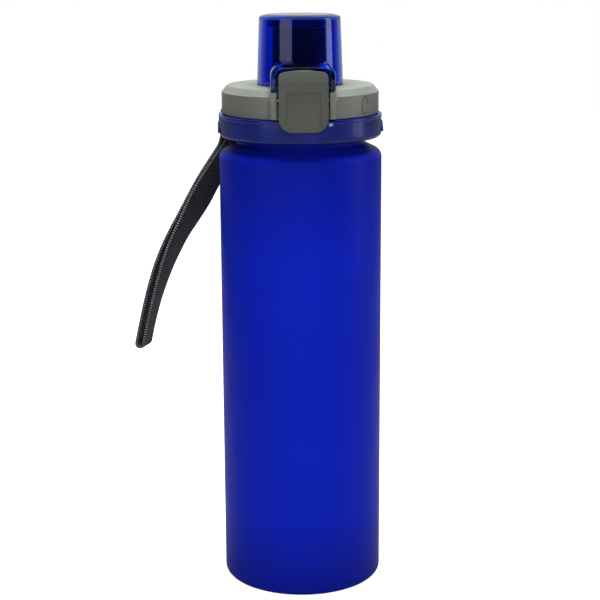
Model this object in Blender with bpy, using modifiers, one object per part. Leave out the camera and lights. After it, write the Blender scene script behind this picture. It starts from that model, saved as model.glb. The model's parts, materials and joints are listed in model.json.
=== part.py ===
"""A rigid drinking bottle with a screw-on flip-top lid.

The bottle stands on the XY plane with its axis on Z. The latch faces -Y and the cap's hinge is at +Y.
All sizes are in metres.
"""

from math import cos, pi, radians, sin, tan, tau

import bmesh
import bpy
from mathutils import Matrix, Vector

# Clearances
FIT = 0.0003  # between pieces that touch on the real object
PIN_FIT = 0.0003  # round each steel pin
OVER = 0.001  # how far a cutter passes the surface that it opens

# Bottle
BODY_RADIUS = 0.0350
BODY_WALL = 0.0020
SHOULDER_Z = 0.1893  # where the straight wall ends
SHOULDER_FILLET = 0.0040
SHOULDER_TURN = radians(64)  # how far the shoulder's fillet turns before the slope
BASE_FILLET = 0.0032
BASE_THICKNESS = 0.0030
FLOOR_FILLET = 0.0040  # inside
FOOT_HEIGHT = 0.0014  # the base is hollowed by this much inside its foot ring
FOOT_WIDTH = 0.0032
NECK_RADIUS = 0.0273
NECK_WALL = 0.0021
NECK_FILLET = 0.0013
RIM_ROUND = 0.0006

# Screw thread between the neck and the inner cap
THREAD_STARTS = 3
THREAD_PITCH = 0.0040
THREAD_DEPTH = 0.0012
THREAD_GAP = 0.0005  # from a crest to the wall that it faces
THREAD_BASE = 0.0018
THREAD_CREST = 0.0010
THREAD_ROOT = 0.0003  # how far a ridge is sunk in its wall
THREAD_RAISE = 0.0024  # of the first ridge, above the lock ring's lower edge
NECK_THREAD_TURN = 200  # degrees
CAP_THREAD_TURN = 150  # degrees

# Lid, from its lowest edge up
NECK_SHOW = 0.002645  # bare neck between the shoulder and the lock ring
CORE_WALL = 0.0016
CORE_FLANGE_HEIGHT = 0.0014
CORE_PLATE = 0.0023
PLUG_LIP_HEIGHT = 0.0052
PLUG_LIP_GAP = 0.0010
PLUG_LIP_WALL = 0.0012
FLANGE_RAISE = 0.0004
RING_HEIGHT = 0.0098
RING_CLEARANCE = 0.0006
RING_WALL = 0.0038
RING_LIP = 0.0010
RING_LIP_REACH = 0.0002
RING_LIP_FALL = 0.0006
RING_ROUND = 0.0018
RING_SEAT = 0.0021  # depth and height of the step that sits round the inner cap's flange
GRIP_LENGTH = 0.0140
GRIP_LOW = 0.0019  # above the ring's lower edge
GRIP_HIGH = 0.0067
GRIP_REACH = 0.0004
DOT_ANGLE = radians(18.75 - 90)
DOT_DROP = 0.0022  # below the ring's upper edge
COVER_INSET = 0.0014
COVER_WALL = 0.0018
COVER_TOP = 0.0020
COVER_HEIGHT = 0.0119
CHAMFER = 0.0025
GASKET_THICKNESS = 0.0018
TURNS = 56  # facets round the large pieces

# Drinking spout and the cap over it
SPOUT_RADIUS = 0.01165
SPOUT_WALL = 0.0020
SPOUT_HEIGHT = 0.0236  # above the cover
SPOUT_ROUND = 0.0009
SPOUT_COLLAR_GAP = 0.00035  # round the spout, in the cover
VENT_DISTANCE = 0.0146
VENT_RADIUS = 0.0012
VENT_FLAP_RADIUS = 0.0026
VENT_FLAP_EDGE = 0.0005
VENT_FLAP_THICKNESS = 0.0009
BREATHER_RADIUS = 0.0008
CAP_WALL = 0.0015
CAP_CLEARANCE = 0.00525  # from the spout to the cap's inner wall
CAP_HEIGHT = 0.0296
CAP_TAPER = 0.0011
CAP_ROUND = 0.0018
CAP_CEILING = 0.0016
SOCKET_WALL = 0.0012  # of the rim that holds the seal
SOCKET_RAISE = 0.0008  # above the spout
SEAL_DISC = 0.0006  # how far the seal reaches past the spout's outside
PLUG_GAP = 0.0007
PLUG_TAPER = 0.0017
PLUG_DEPTH = 0.0015

# Latch, its ears and the cap's hood
LATCH_WIDTH = 0.0202
LATCH_BOTTOM = 0.0166  # below the top of the cover
LATCH_TOP = 0.0088  # above the top of the cover
LATCH_THICKNESS = 0.0019
LATCH_OVERHANG = 0.0050  # of the latch's front, past the cover's side
LATCH_PIN_DROP = 0.0034
LATCH_PIN_INSET = 0.0003  # inside the cover's side
LATCH_PIN_RADIUS = 0.0009
LATCH_BOSS_WALL = 0.0010
LATCH_CORNER = 0.0040
LATCH_ARCH = 0.0012
PANEL_WIDTH = 0.0139
PANEL_HEIGHT = 0.0142
PANEL_RAISE = 0.0023
PANEL_DEPTH = 0.0006
EAR_GAP = 0.00075
POCKET_BELOW = 0.0007  # room round the latch's boss
POCKET_BEHIND = 0.0004
EAR_WIDTH = 0.00265
EAR_OVERHANG = 0.0019
EAR_DEPTH = 0.0034  # inside the cover's side
EAR_RAISE = 0.0004
HOOD_GAP = 0.0009
HOOD_WALL = 0.0022
HOOD_HEIGHT = 0.0111
HOOD_CORNER = 0.0050
CORE_INSET = 0.0006  # where the hood meets the cap's wall, inside its face
CORE_TAPER = 0.0004
HOOD_REACH = 0.6  # of the cap's inner radius, where the hood ends
CATCH_HEIGHT = 0.0024
CATCH_DEPTH = 0.0020
CATCH_RAISE = 0.0010  # above the cover
CATCH_SETBACK = 0.0010  # behind the hood's front

# Hinge at the back
HINGE_RAISE = 0.0034  # of the axis, above the cover
HINGE_INSET = 0.0008  # of the axis, inside the cover's side
HINGE_PIN_RADIUS = 0.0010
KNUCKLE_RADIUS = 0.0029
KNUCKLE_ROOT = 0.0026  # where the arm starts, inside the cap's face
KNUCKLE_LOW = 0.0022  # of the arm's underside, below the axis
KNUCKLE_NEAR = 0.0015
LUG_RADIUS = 0.0034
LUG_SIDE = 0.0030  # of the lug's straight back, below the top of the cover
LUG_DROP = 0.0065
LUG_FOOT = 0.0040
SPRING_BAY = 0.0062
KNUCKLE_WIDTH = 0.0048
LUG_WIDTH = 0.0038
SPRING_WIRE = 0.0004  # radius
SPRING_RADIUS = 0.0020
SPRING_TURNS = 4
SPRING_LOWER_LEG = 0.0090
SPRING_LEG_GAP = 0.0020  # between the upper leg's end and the cap
LATCH_SPRING_DROP = 0.0064  # below the latch's pin
LATCH_SPRING_RADIUS = 0.0020
LATCH_SPRING_WIRE = 0.0002  # radius
LATCH_SPRING_TURNS = 3

# Strap
STRAP_WIDTH = 0.0132
STRAP_THICKNESS = 0.0048  # of the two layers and the space between them
STRAP_LUG_ANGLE = radians(140)
STRAP_LUG_WIDTH = 0.0180
STRAP_LUG_REACH = 0.0038
STRAP_BAR = 0.0018
STRAP_PLAY = 0.0005  # in the slot, at each edge of the strap
STRAP_LUG_HEIGHT = 0.0074
STRAP_LUG_RAISE = 0.0010  # above the ring's lower edge

# Positions that follow from the sizes above
SHOULDER_RISE = SHOULDER_FILLET * tan(SHOULDER_TURN / 2)
SLOPE_RISE = (BODY_RADIUS - NECK_RADIUS) / tan(SHOULDER_TURN)
LID_Z = SHOULDER_Z + SHOULDER_RISE + SLOPE_RISE + NECK_SHOW
COVER_Z = LID_Z + RING_HEIGHT + FIT
TOP_Z = COVER_Z + COVER_HEIGHT
PLATE_Z = TOP_Z - COVER_TOP - FIT - CORE_PLATE
GASKET_Z = PLATE_Z - FIT - GASKET_THICKNESS
RIM_Z = GASKET_Z - FIT
LEAD = THREAD_STARTS * THREAD_PITCH
CORE_INNER = NECK_RADIUS + THREAD_DEPTH + THREAD_GAP
CORE_OUTER = CORE_INNER + CORE_WALL
RING_INNER = CORE_OUTER + RING_CLEARANCE
RING_RADIUS = RING_INNER + RING_WALL
COVER_RADIUS = RING_RADIUS - COVER_INSET
NECK_INNER = NECK_RADIUS - NECK_WALL
LIP_OUTER = NECK_INNER - PLUG_LIP_GAP
LIP_INNER = LIP_OUTER - PLUG_LIP_WALL
CAP_INNER = SPOUT_RADIUS + CAP_CLEARANCE
CAP_RADIUS = CAP_INNER + CAP_WALL
SPOUT_Z = TOP_Z + SPOUT_HEIGHT
CAP_Z = TOP_Z + FIT
CEILING_Z = TOP_Z + CAP_HEIGHT - CAP_CEILING
HOOD_FRONT = -(COVER_RADIUS + EAR_OVERHANG)
LATCH_FRONT = -(COVER_RADIUS + LATCH_OVERHANG)
LATCH_PIN = Vector((0, LATCH_PIN_INSET - COVER_RADIUS, TOP_Z - LATCH_PIN_DROP))
LATCH_BOSS = LATCH_PIN_RADIUS + PIN_FIT + LATCH_BOSS_WALL
EAR_INNER = LATCH_WIDTH / 2 + EAR_GAP
EAR_OUTER = EAR_INNER + EAR_WIDTH
HOOD_INNER = LATCH_WIDTH / 2 + HOOD_GAP
HOOD_OUTER = HOOD_INNER + HOOD_WALL
CATCH_FRONT = HOOD_FRONT + CATCH_SETBACK
CATCH_TOP = TOP_Z + CATCH_RAISE + CATCH_HEIGHT
HINGE = Vector((0, COVER_RADIUS - HINGE_INSET, TOP_Z + HINGE_RAISE))
KNUCKLE_INNER = SPRING_BAY / 2
KNUCKLE_OUTER = KNUCKLE_INNER + KNUCKLE_WIDTH
LUG_INNER = KNUCKLE_OUTER + FIT
LUG_OUTER = LUG_INNER + LUG_WIDTH
STRAP_LUG_Z = LID_Z + STRAP_LUG_RAISE


def clear_scene():
    for obj in list(bpy.data.objects):
        bpy.data.objects.remove(obj)


def collection(name):
    made = bpy.data.collections.new(name)
    bpy.context.scene.collection.children.link(made)
    return made


clear_scene()
PARTS = collection("sports_bottle")
CUTTERS = collection("cutters")


def material(name, colour, roughness, metallic=0.0, transmission=0.0):
    made = bpy.data.materials.new(name)
    made.use_nodes = True
    shader = made.node_tree.nodes["Principled BSDF"]
    shader.inputs["Base Color"].default_value = (*colour, 1)
    shader.inputs["Roughness"].default_value = roughness
    shader.inputs["Metallic"].default_value = metallic
    shader.inputs["Transmission Weight"].default_value = transmission
    return made


SATIN_BLUE = material("satin_blue", (0.008, 0.018, 0.28), 0.45)
CLEAR_BLUE = material("clear_blue", (0.02, 0.06, 0.55), 0.12, transmission=0.6)
GREY_PLASTIC = material("grey_plastic", (0.16, 0.17, 0.15), 0.5)
SILICONE = material("silicone", (0.75, 0.75, 0.74), 0.6)
STEEL = material("steel", (0.6, 0.6, 0.6), 0.25, metallic=1.0)
WEBBING = material("webbing", (0.03, 0.03, 0.035), 0.9)


def place(name, mesh, finish=None):
    """A new object of the bottle, or a cutter where it has no finish."""
    obj = bpy.data.objects.new(name, mesh)
    (PARTS if finish else CUTTERS).objects.link(obj)
    if finish:
        mesh.materials.append(finish)
    else:
        obj.hide_render = True
        obj.display_type = "WIRE"
    return obj


def mesh_from(name, bm):
    mesh = bpy.data.meshes.new(name)
    bm.to_mesh(mesh)
    bm.free()
    mesh.shade_smooth()
    mesh.set_sharp_from_angle(angle=radians(35))
    return mesh


def arc(centre, radius, start, end, steps):
    """Points of an arc in (radius, height), with its angles in degrees."""
    turned = [radians(start + (end - start) * i / steps) for i in range(steps + 1)]
    return [(centre[0] + radius * cos(a), centre[1] + radius * sin(a)) for a in turned]


def turned(name, profile, finish=None, steps=TURNS, closed=False):
    """A profile of (radius, height) points turned round Z."""
    bm = bmesh.new()
    points = [bm.verts.new((r, 0, z)) for r, z in profile]
    for a, b in zip(points, points[1:]):
        bm.edges.new((a, b))
    if closed:
        bm.edges.new((points[-1], points[0]))
    obj = place(name, mesh_from(name, bm), finish)
    screw = obj.modifiers.new("Turn", "SCREW")
    screw.steps = screw.render_steps = steps
    screw.use_merge_vertices = True
    screw.merge_threshold = 0.00001
    return obj


def box(name, low, high, finish=None, round_edges=0.0, along=None):
    """A box between two corners, with the edges that run along one axis rounded."""
    bm = bmesh.new()
    bmesh.ops.create_cube(bm, size=1)
    low, high = Vector(low), Vector(high)
    size = high - low
    bmesh.ops.scale(bm, vec=size, verts=bm.verts)
    bmesh.ops.translate(bm, vec=(low + high) / 2, verts=bm.verts)
    if round_edges:
        top = [
            e
            for e in bm.edges
            if abs((e.verts[0].co - e.verts[1].co)[along]) > size[along] / 2
            and min(v.co.z for v in e.verts) > low.z + size.z / 2
        ]
        bmesh.ops.bevel(
            bm, geom=top, offset=round_edges, segments=5, profile=0.5, affect="EDGES"
        )
    return place(name, mesh_from(name, bm), finish)


def rod(name, centre, radius, length, finish=None, sides=20, axis="X"):
    """A cylinder along X or Y."""
    bm = bmesh.new()
    bmesh.ops.create_cone(
        bm, cap_ends=True, segments=sides, radius1=radius, radius2=radius, depth=length
    )
    turn = Matrix.Rotation(pi / 2, 3, "Y" if axis == "X" else "X")
    bmesh.ops.rotate(bm, cent=(0, 0, 0), matrix=turn, verts=bm.verts)
    bmesh.ops.translate(bm, vec=centre, verts=bm.verts)
    return place(name, mesh_from(name, bm), finish)


def extruded(name, outline, low, high, axis, finish=None):
    """An outline of two-number points, extruded along X (as Y, Z) or along Y (as X, Z)."""
    bm = bmesh.new()
    if axis == "X":
        face = bm.faces.new([bm.verts.new((low, a, b)) for a, b in outline])
        step = (high - low, 0, 0)
    else:
        face = bm.faces.new([bm.verts.new((a, low, b)) for a, b in outline])
        step = (0, high - low, 0)
    grown = bmesh.ops.extrude_face_region(bm, geom=[face], use_keep_orig=True)
    new = [v for v in grown["geom"] if isinstance(v, bmesh.types.BMVert)]
    bmesh.ops.translate(bm, vec=step, verts=new)
    bmesh.ops.recalc_face_normals(bm, faces=bm.faces)
    return place(name, mesh_from(name, bm), finish)


def loft(name, sections, finish=None):
    """A closed skin over a row of sections with the same number of points."""
    bm = bmesh.new()
    rows = [[bm.verts.new(p) for p in section] for section in sections]
    count = len(rows[0])
    for row, following in zip(rows, rows[1:]):
        for i in range(count):
            j = (i + 1) % count
            bm.faces.new((row[i], row[j], following[j], following[i]))
    bm.faces.new(rows[0][::-1])
    bm.faces.new(rows[-1])
    bmesh.ops.recalc_face_normals(bm, faces=bm.faces)
    return place(name, mesh_from(name, bm), finish)


def wire(name, points, radius, finish):
    """A round wire along a path."""
    curve = bpy.data.curves.new(name, "CURVE")
    curve.dimensions = "3D"
    curve.bevel_depth = radius
    curve.bevel_resolution = 1
    curve.use_fill_caps = True
    spline = curve.splines.new("POLY")
    spline.points.add(len(points) - 1)
    for point, place_at in zip(spline.points, points):
        point.co = (*place_at, 1)
    obj = bpy.data.objects.new(name, curve)
    PARTS.objects.link(obj)
    curve.materials.append(finish)
    return obj


def boolean(obj, other, operation):
    step = obj.modifiers.new(other.name, "BOOLEAN")
    step.object = other
    step.operation = operation


def cut(obj, *others):
    for other in others:
        boolean(obj, other, "DIFFERENCE")


def join(obj, *others):
    for other in others:
        boolean(obj, other, "UNION")


def thread_ridge(name, wall, inward, start_turn, turn, height):
    """One ridge of the thread, on the outside of a wall or, inward, on its inside. Its ends run out."""
    steps = turn // 10
    sections = []
    for i in range(steps + 1):
        angle = radians(start_turn + turn * i / steps)
        z = height + LEAD * radians(turn * i / steps) / tau
        rise = THREAD_DEPTH * min(1, (i + 0.5) / 2, (steps - i + 0.5) / 2)
        out = Vector((cos(angle), sin(angle), 0))
        foot = wall + THREAD_ROOT if inward else wall - THREAD_ROOT
        crest = wall - rise if inward else wall + rise
        sections.append(
            [
                out * foot + Vector((0, 0, z - THREAD_BASE / 2)),
                out * crest + Vector((0, 0, z - THREAD_CREST / 2)),
                out * crest + Vector((0, 0, z + THREAD_CREST / 2)),
                out * foot + Vector((0, 0, z + THREAD_BASE / 2)),
            ]
        )
    return loft(name, sections)


def thread(owner, label, wall, inward, turn, height):
    for start in range(THREAD_STARTS):
        first = 360 * start / THREAD_STARTS
        join(owner, thread_ridge(f"{label}_{start}", wall, inward, first, turn, height))


def bottle_body():
    corner = (BODY_RADIUS - SHOULDER_FILLET, SHOULDER_Z)
    turn = SHOULDER_TURN * 180 / pi
    outer = arc(corner, SHOULDER_FILLET, 0, turn, 6)
    inner = arc(corner, SHOULDER_FILLET - BODY_WALL, 0, turn, 4)
    fall = cos(SHOULDER_TURN) / sin(SHOULDER_TURN)
    join_radius = NECK_RADIUS + NECK_FILLET
    join_z = outer[-1][1] + (outer[-1][0] - join_radius) * fall
    inner_join_z = inner[-1][1] + (inner[-1][0] - NECK_INNER) * fall
    neck_fillet = arc((join_radius, join_z + NECK_FILLET), NECK_FILLET, 270, 180, 3)
    floor_z = FOOT_HEIGHT + BASE_THICKNESS
    inside = BODY_RADIUS - BODY_WALL
    foot_outer = BODY_RADIUS - BASE_FILLET
    foot_inner = foot_outer - FOOT_WIDTH
    profile = [
        (0, floor_z),
        *arc((inside - FLOOR_FILLET, floor_z + FLOOR_FILLET), FLOOR_FILLET, -90, 0, 3),
        *inner,
        (NECK_INNER, inner_join_z),
        *arc((NECK_INNER + RIM_ROUND, RIM_Z - RIM_ROUND), RIM_ROUND, 180, 90, 2),
        *arc((NECK_RADIUS - RIM_ROUND, RIM_Z - RIM_ROUND), RIM_ROUND, 90, 0, 2),
        *neck_fillet[::-1],
        *outer[::-1],
        *arc((foot_outer, BASE_FILLET), BASE_FILLET, 0, -90, 4),
        (foot_inner, 0),
        (foot_inner - FOOT_HEIGHT, FOOT_HEIGHT),
        (0, FOOT_HEIGHT),
    ]
    body = turned("bottle_body", profile, SATIN_BLUE)
    thread(body, "neck_thread", NECK_RADIUS, False, NECK_THREAD_TURN, LID_Z + THREAD_RAISE)


def inner_cap():
    """The threaded cap with the drinking spout moulded on its top plate."""
    plate_top = PLATE_Z + CORE_PLATE
    bore = SPOUT_RADIUS - SPOUT_WALL
    flange_z = LID_Z + FLANGE_RAISE
    flange = RING_INNER + RING_SEAT - FIT
    round_z = SPOUT_Z - SPOUT_ROUND
    profile = [
        (CORE_INNER, flange_z),
        (CORE_INNER, PLATE_Z),
        (LIP_OUTER, PLATE_Z),
        (LIP_OUTER, PLATE_Z - PLUG_LIP_HEIGHT),
        (LIP_INNER, PLATE_Z - PLUG_LIP_HEIGHT),
        (LIP_INNER, PLATE_Z),
        (bore, PLATE_Z),
        *arc((bore + SPOUT_ROUND, round_z), SPOUT_ROUND, 180, 90, 3),
        *arc((SPOUT_RADIUS - SPOUT_ROUND, round_z), SPOUT_ROUND, 90, 0, 3),
        (SPOUT_RADIUS, plate_top),
        (CORE_OUTER, plate_top),
        (CORE_OUTER, flange_z + CORE_FLANGE_HEIGHT),
        (flange, flange_z + CORE_FLANGE_HEIGHT),
        (flange, flange_z),
    ]
    core = turned("inner_cap", profile, GREY_PLASTIC, closed=True)
    height = LID_Z + THREAD_RAISE + THREAD_PITCH / 2
    thread(core, "cap_thread", CORE_INNER, True, CAP_THREAD_TURN, height)
    drill = [
        (0, TOP_Z),
        (VENT_RADIUS, TOP_Z),
        (VENT_RADIUS, PLATE_Z - OVER),
        (0, PLATE_Z - OVER),
    ]
    hole = turned("vent_drill", drill, steps=16)
    hole.location.y = VENT_DISTANCE
    cut(core, hole)


def seals():
    gasket = [
        (LIP_OUTER + FIT, GASKET_Z),
        (LIP_OUTER + FIT, GASKET_Z + GASKET_THICKNESS),
        (CORE_INNER - FIT, GASKET_Z + GASKET_THICKNESS),
        (CORE_INNER - FIT, GASKET_Z),
    ]
    turned("mouth_gasket", gasket, SILICONE, closed=True)
    stem = VENT_RADIUS - FIT
    valve = [
        (0, PLATE_Z + CORE_PLATE - FIT),
        (stem, PLATE_Z + CORE_PLATE - FIT),
        (stem, PLATE_Z - FIT),
        (VENT_FLAP_RADIUS, PLATE_Z - FIT),
        (VENT_FLAP_RADIUS, PLATE_Z - FIT - VENT_FLAP_EDGE),
        (0, PLATE_Z - FIT - VENT_FLAP_THICKNESS),
    ]
    turned("vent_valve", valve, SILICONE, steps=16).location.y = VENT_DISTANCE
    bore = SPOUT_RADIUS - SPOUT_WALL
    disc = SPOUT_RADIUS + SEAL_DISC
    plug = [
        (0, CEILING_Z - FIT),
        (disc, CEILING_Z - FIT),
        (disc, SPOUT_Z + FIT),
        (bore - PLUG_GAP, SPOUT_Z + FIT),
        (bore - PLUG_GAP - PLUG_TAPER, SPOUT_Z - PLUG_DEPTH),
        (0, SPOUT_Z - PLUG_DEPTH - FIT),
    ]
    turned("spout_seal", plug, SILICONE, steps=48)


def lock_ring():
    top = LID_Z + RING_HEIGHT
    side = RING_RADIUS - RING_LIP_REACH
    seat = RING_INNER + RING_SEAT
    profile = [
        (seat, LID_Z),
        (seat, LID_Z + RING_SEAT),
        (RING_INNER, LID_Z + RING_SEAT),
        (RING_INNER, top),
        (RING_RADIUS, top),
        (RING_RADIUS, top - RING_LIP),
        (side, top - RING_LIP - RING_LIP_FALL),
        *arc((side - RING_ROUND, LID_Z + RING_ROUND), RING_ROUND, 0, -90, 3),
    ]
    ring = turned("lock_ring", profile, CLEAR_BLUE, closed=True)
    half, low, high = GRIP_LENGTH / 2, LID_Z + GRIP_LOW, LID_Z + GRIP_HIGH
    for hand in (-1, 1):
        bump = extruded(
            f"grip_bump_{hand + 1}",
            [(-half, low), (half, low), (0, high)],
            hand * (RING_RADIUS - OVER),
            hand * (RING_RADIUS + GRIP_REACH),
            "X",
        )
        join(ring, bump)
    dot = box("index_dot", (-0.0010, -0.0012, 0), (0.0006, 0.0012, 0.0015))
    dot.location = (RING_RADIUS * cos(DOT_ANGLE), RING_RADIUS * sin(DOT_ANGLE), top - DOT_DROP)
    dot.rotation_euler.z = DOT_ANGLE
    join(ring, dot)
    half = STRAP_LUG_WIDTH / 2
    reach = RING_RADIUS + STRAP_LUG_REACH
    low, high = STRAP_LUG_Z, STRAP_LUG_Z + STRAP_LUG_HEIGHT
    lug = box("strap_lug", (RING_RADIUS - 0.0020, -half, low), (reach, half, high))
    slot = box(
        "strap_slot",
        (RING_RADIUS + 0.0001, -STRAP_WIDTH / 2 - STRAP_PLAY, low - OVER),
        (reach - STRAP_BAR, STRAP_WIDTH / 2 + STRAP_PLAY, high + OVER),
    )
    for piece in (lug, slot):
        piece.rotation_euler.z = STRAP_LUG_ANGLE
    join(ring, lug)
    cut(ring, slot)


def lid_cover():
    flat = COVER_RADIUS - CHAMFER
    inside = COVER_RADIUS - COVER_WALL
    hole = SPOUT_RADIUS + SPOUT_COLLAR_GAP
    profile = [
        (inside, COVER_Z),
        (inside, TOP_Z - COVER_TOP - 0.0010),
        (inside - 0.0010, TOP_Z - COVER_TOP),
        (hole, TOP_Z - COVER_TOP),
        (hole, TOP_Z),
        (flat, TOP_Z),
        (COVER_RADIUS, TOP_Z - CHAMFER),
        (COVER_RADIUS, COVER_Z),
    ]
    cover = turned("lid_cover", profile, GREY_PLASTIC, closed=True)
    ear_z = COVER_Z + EAR_RAISE
    back = EAR_DEPTH - COVER_RADIUS
    hollow = turned(
        "lid_hollow",
        [
            (hole, COVER_Z - OVER),
            (hole, TOP_Z - COVER_TOP + FIT),
            (inside + FIT, TOP_Z - COVER_TOP + FIT),
            (inside + FIT, COVER_Z - OVER),
        ],
        closed=True,
    )
    for side in (-1, 1):
        x = sorted((side * EAR_INNER, side * EAR_OUTER))
        ear = box(
            f"ear_{side + 1}", (x[0], HOOD_FRONT, ear_z), (x[1], back, TOP_Z - FIT)
        )
        join(cover, ear)
        x = sorted((side * LUG_INNER, side * LUG_OUTER))
        outline = [
            (HINGE.y - LUG_RADIUS, TOP_Z - 0.0010),
            (HINGE.y - LUG_RADIUS, HINGE.z),
            *arc((HINGE.y, HINGE.z), LUG_RADIUS, 180, 0, 8)[1:],
            (HINGE.y + LUG_RADIUS, TOP_Z - LUG_SIDE),
            (COVER_RADIUS - HINGE_INSET, TOP_Z - LUG_DROP),
            (COVER_RADIUS - LUG_FOOT, TOP_Z - LUG_DROP),
        ]
        lug = extruded(f"hinge_lug_{side + 1}", outline, x[0], x[1], "X")
        cut(lug, hollow)
        join(cover, lug)
    pocket = box(
        "latch_pocket",
        (-EAR_INNER, HOOD_FRONT - OVER, LATCH_PIN.z - LATCH_BOSS - POCKET_BELOW),
        (EAR_INNER, LATCH_PIN.y + LATCH_BOSS + POCKET_BEHIND, TOP_Z + OVER),
    )
    vent = [
        (0, TOP_Z + OVER),
        (BREATHER_RADIUS, TOP_Z + OVER),
        (BREATHER_RADIUS, TOP_Z - COVER_TOP - OVER),
        (0, TOP_Z - COVER_TOP - OVER),
    ]
    breather = turned("breather_drill", vent, steps=12)
    breather.location.y = VENT_DISTANCE
    holes = [
        rod("latch_pin_drill", LATCH_PIN, LATCH_PIN_RADIUS + PIN_FIT, 2 * (EAR_OUTER + OVER)),
        rod("hinge_pin_drill", HINGE, HINGE_PIN_RADIUS + PIN_FIT, 2 * (LUG_OUTER + OVER)),
    ]
    cut(cover, pocket, breather, *holes)


def flip_cap():
    """The clear cap, with its hood over the latch and its two hinge knuckles."""
    top = TOP_Z + CAP_HEIGHT
    upper = CAP_RADIUS - CAP_TAPER
    socket = SPOUT_RADIUS + SEAL_DISC + FIT
    profile = [
        (0, top),
        *arc((upper - CAP_ROUND, top - CAP_ROUND), CAP_ROUND, 90, 0, 3),
        (CAP_RADIUS, CAP_Z),
        (CAP_INNER, CAP_Z),
        (upper - CAP_WALL, CEILING_Z - CAP_WALL / 2),
        (upper - CAP_WALL * 3 / 2, CEILING_Z),
        (socket + SOCKET_WALL, CEILING_Z),
        (socket + SOCKET_WALL, SPOUT_Z + SOCKET_RAISE),
        (socket, SPOUT_Z + SOCKET_RAISE),
        (socket, CEILING_Z),
        (0, CEILING_Z),
    ]
    cap = turned("flip_cap", profile, CLEAR_BLUE, steps=48)
    hood_top = TOP_Z + HOOD_HEIGHT
    deep = -CAP_INNER * HOOD_REACH
    hood = box(
        "hood",
        (-HOOD_OUTER, HOOD_FRONT, CAP_Z),
        (HOOD_OUTER, deep, hood_top),
        round_edges=HOOD_CORNER,
        along=1,
    )
    tunnel = box(
        "tunnel",
        (-HOOD_INNER, HOOD_FRONT - OVER, CAP_Z - OVER),
        (HOOD_INNER, deep + OVER, hood_top - HOOD_WALL + FIT),
        round_edges=HOOD_CORNER - HOOD_WALL,
        along=1,
    )
    core = turned(
        "hood_core",
        [
            (0, hood_top + OVER),
            (CAP_RADIUS - CORE_INSET - CORE_TAPER, hood_top + OVER),
            (CAP_RADIUS - CORE_INSET, CAP_Z - OVER),
            (0, CAP_Z - OVER),
        ],
        steps=48,
    )
    cut(hood, tunnel, core)
    catch = box(
        "catch_bar",
        (-HOOD_INNER - OVER, CATCH_FRONT, TOP_Z + CATCH_RAISE),
        (HOOD_INNER + OVER, CATCH_FRONT + CATCH_DEPTH, CATCH_TOP),
    )
    join(hood, catch)
    join(cap, hood)
    for side in (-1, 1):
        x = sorted((side * KNUCKLE_INNER, side * KNUCKLE_OUTER))
        wall_y = CAP_RADIUS - KNUCKLE_ROOT
        outline = [
            (wall_y, HINGE.z - KNUCKLE_LOW),
            (HINGE.y - KNUCKLE_NEAR, HINGE.z - KNUCKLE_LOW),
            *arc((HINGE.y, HINGE.z), KNUCKLE_RADIUS, -115, 90, 10),
            (wall_y, HINGE.z + KNUCKLE_RADIUS),
        ]
        knuckle = extruded(f"knuckle_{side + 1}", outline, x[0], x[1], "X")
        cut(knuckle, core)
        join(cap, knuckle)
    cut(cap, rod("knuckle_drill", HINGE, HINGE_PIN_RADIUS + PIN_FIT, 2 * (KNUCKLE_OUTER + OVER)))


def latch():
    """The rocking latch: a plate with a pivot boss at its back and a nose that faces the cap's catch."""
    bottom, top = TOP_Z - LATCH_BOTTOM, TOP_Z + LATCH_TOP
    back = LATCH_FRONT + LATCH_THICKNESS
    nose_z = CATCH_TOP
    pin = (LATCH_PIN.y, LATCH_PIN.z)
    side = [
        (LATCH_FRONT + 0.0005, bottom),
        (LATCH_FRONT, bottom + 0.0085),
        (LATCH_FRONT, LATCH_PIN.z),
        (LATCH_FRONT + 0.0003, TOP_Z + 0.0040),
        (LATCH_FRONT + 0.0010, top),
        (back + 0.0008, top),
        (back + 0.0010, nose_z + 0.0028),
        (CATCH_FRONT - FIT, nose_z + 0.0023),
        (CATCH_FRONT - FIT, nose_z + 0.0006),
        (back + 0.0002, nose_z),
        (back + 0.0002, TOP_Z + 0.0004),
        *arc(pin, LATCH_BOSS, 90, -90, 8),
        (back, LATCH_PIN.z - 0.0036),
        (back, bottom + 0.0006),
        (back - 0.0004, bottom),
    ]
    half = LATCH_WIDTH / 2
    plate = extruded("latch", side, -half, half, "X", GREY_PLASTIC)
    corner = LATCH_CORNER
    low_arc = arc((half - corner, bottom + corner), corner, 0, -70, 4)
    high_arc = arc((half - 0.0020, top - LATCH_ARCH - 0.0014), 0.0020, 0, 62, 3)
    right = [*low_arc[::-1], *high_arc]
    left = [(-x, z) for x, z in right[::-1]]
    front = [(0, bottom - 0.0001), *right, (0, top), *left]
    outline = extruded("latch_outline", front, LATCH_FRONT - 0.001, pin[0] + 0.006, "Y")
    boolean(plate, outline, "INTERSECT")
    panel = box(
        "thumb_panel",
        (-PANEL_WIDTH / 2, LATCH_FRONT - OVER, bottom + PANEL_RAISE),
        (PANEL_WIDTH / 2, LATCH_FRONT + PANEL_DEPTH, bottom + PANEL_RAISE + PANEL_HEIGHT),
    )
    bore = rod("latch_bore", LATCH_PIN, LATCH_PIN_RADIUS + PIN_FIT, LATCH_WIDTH + 2 * OVER)
    cut(plate, panel, bore)


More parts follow.
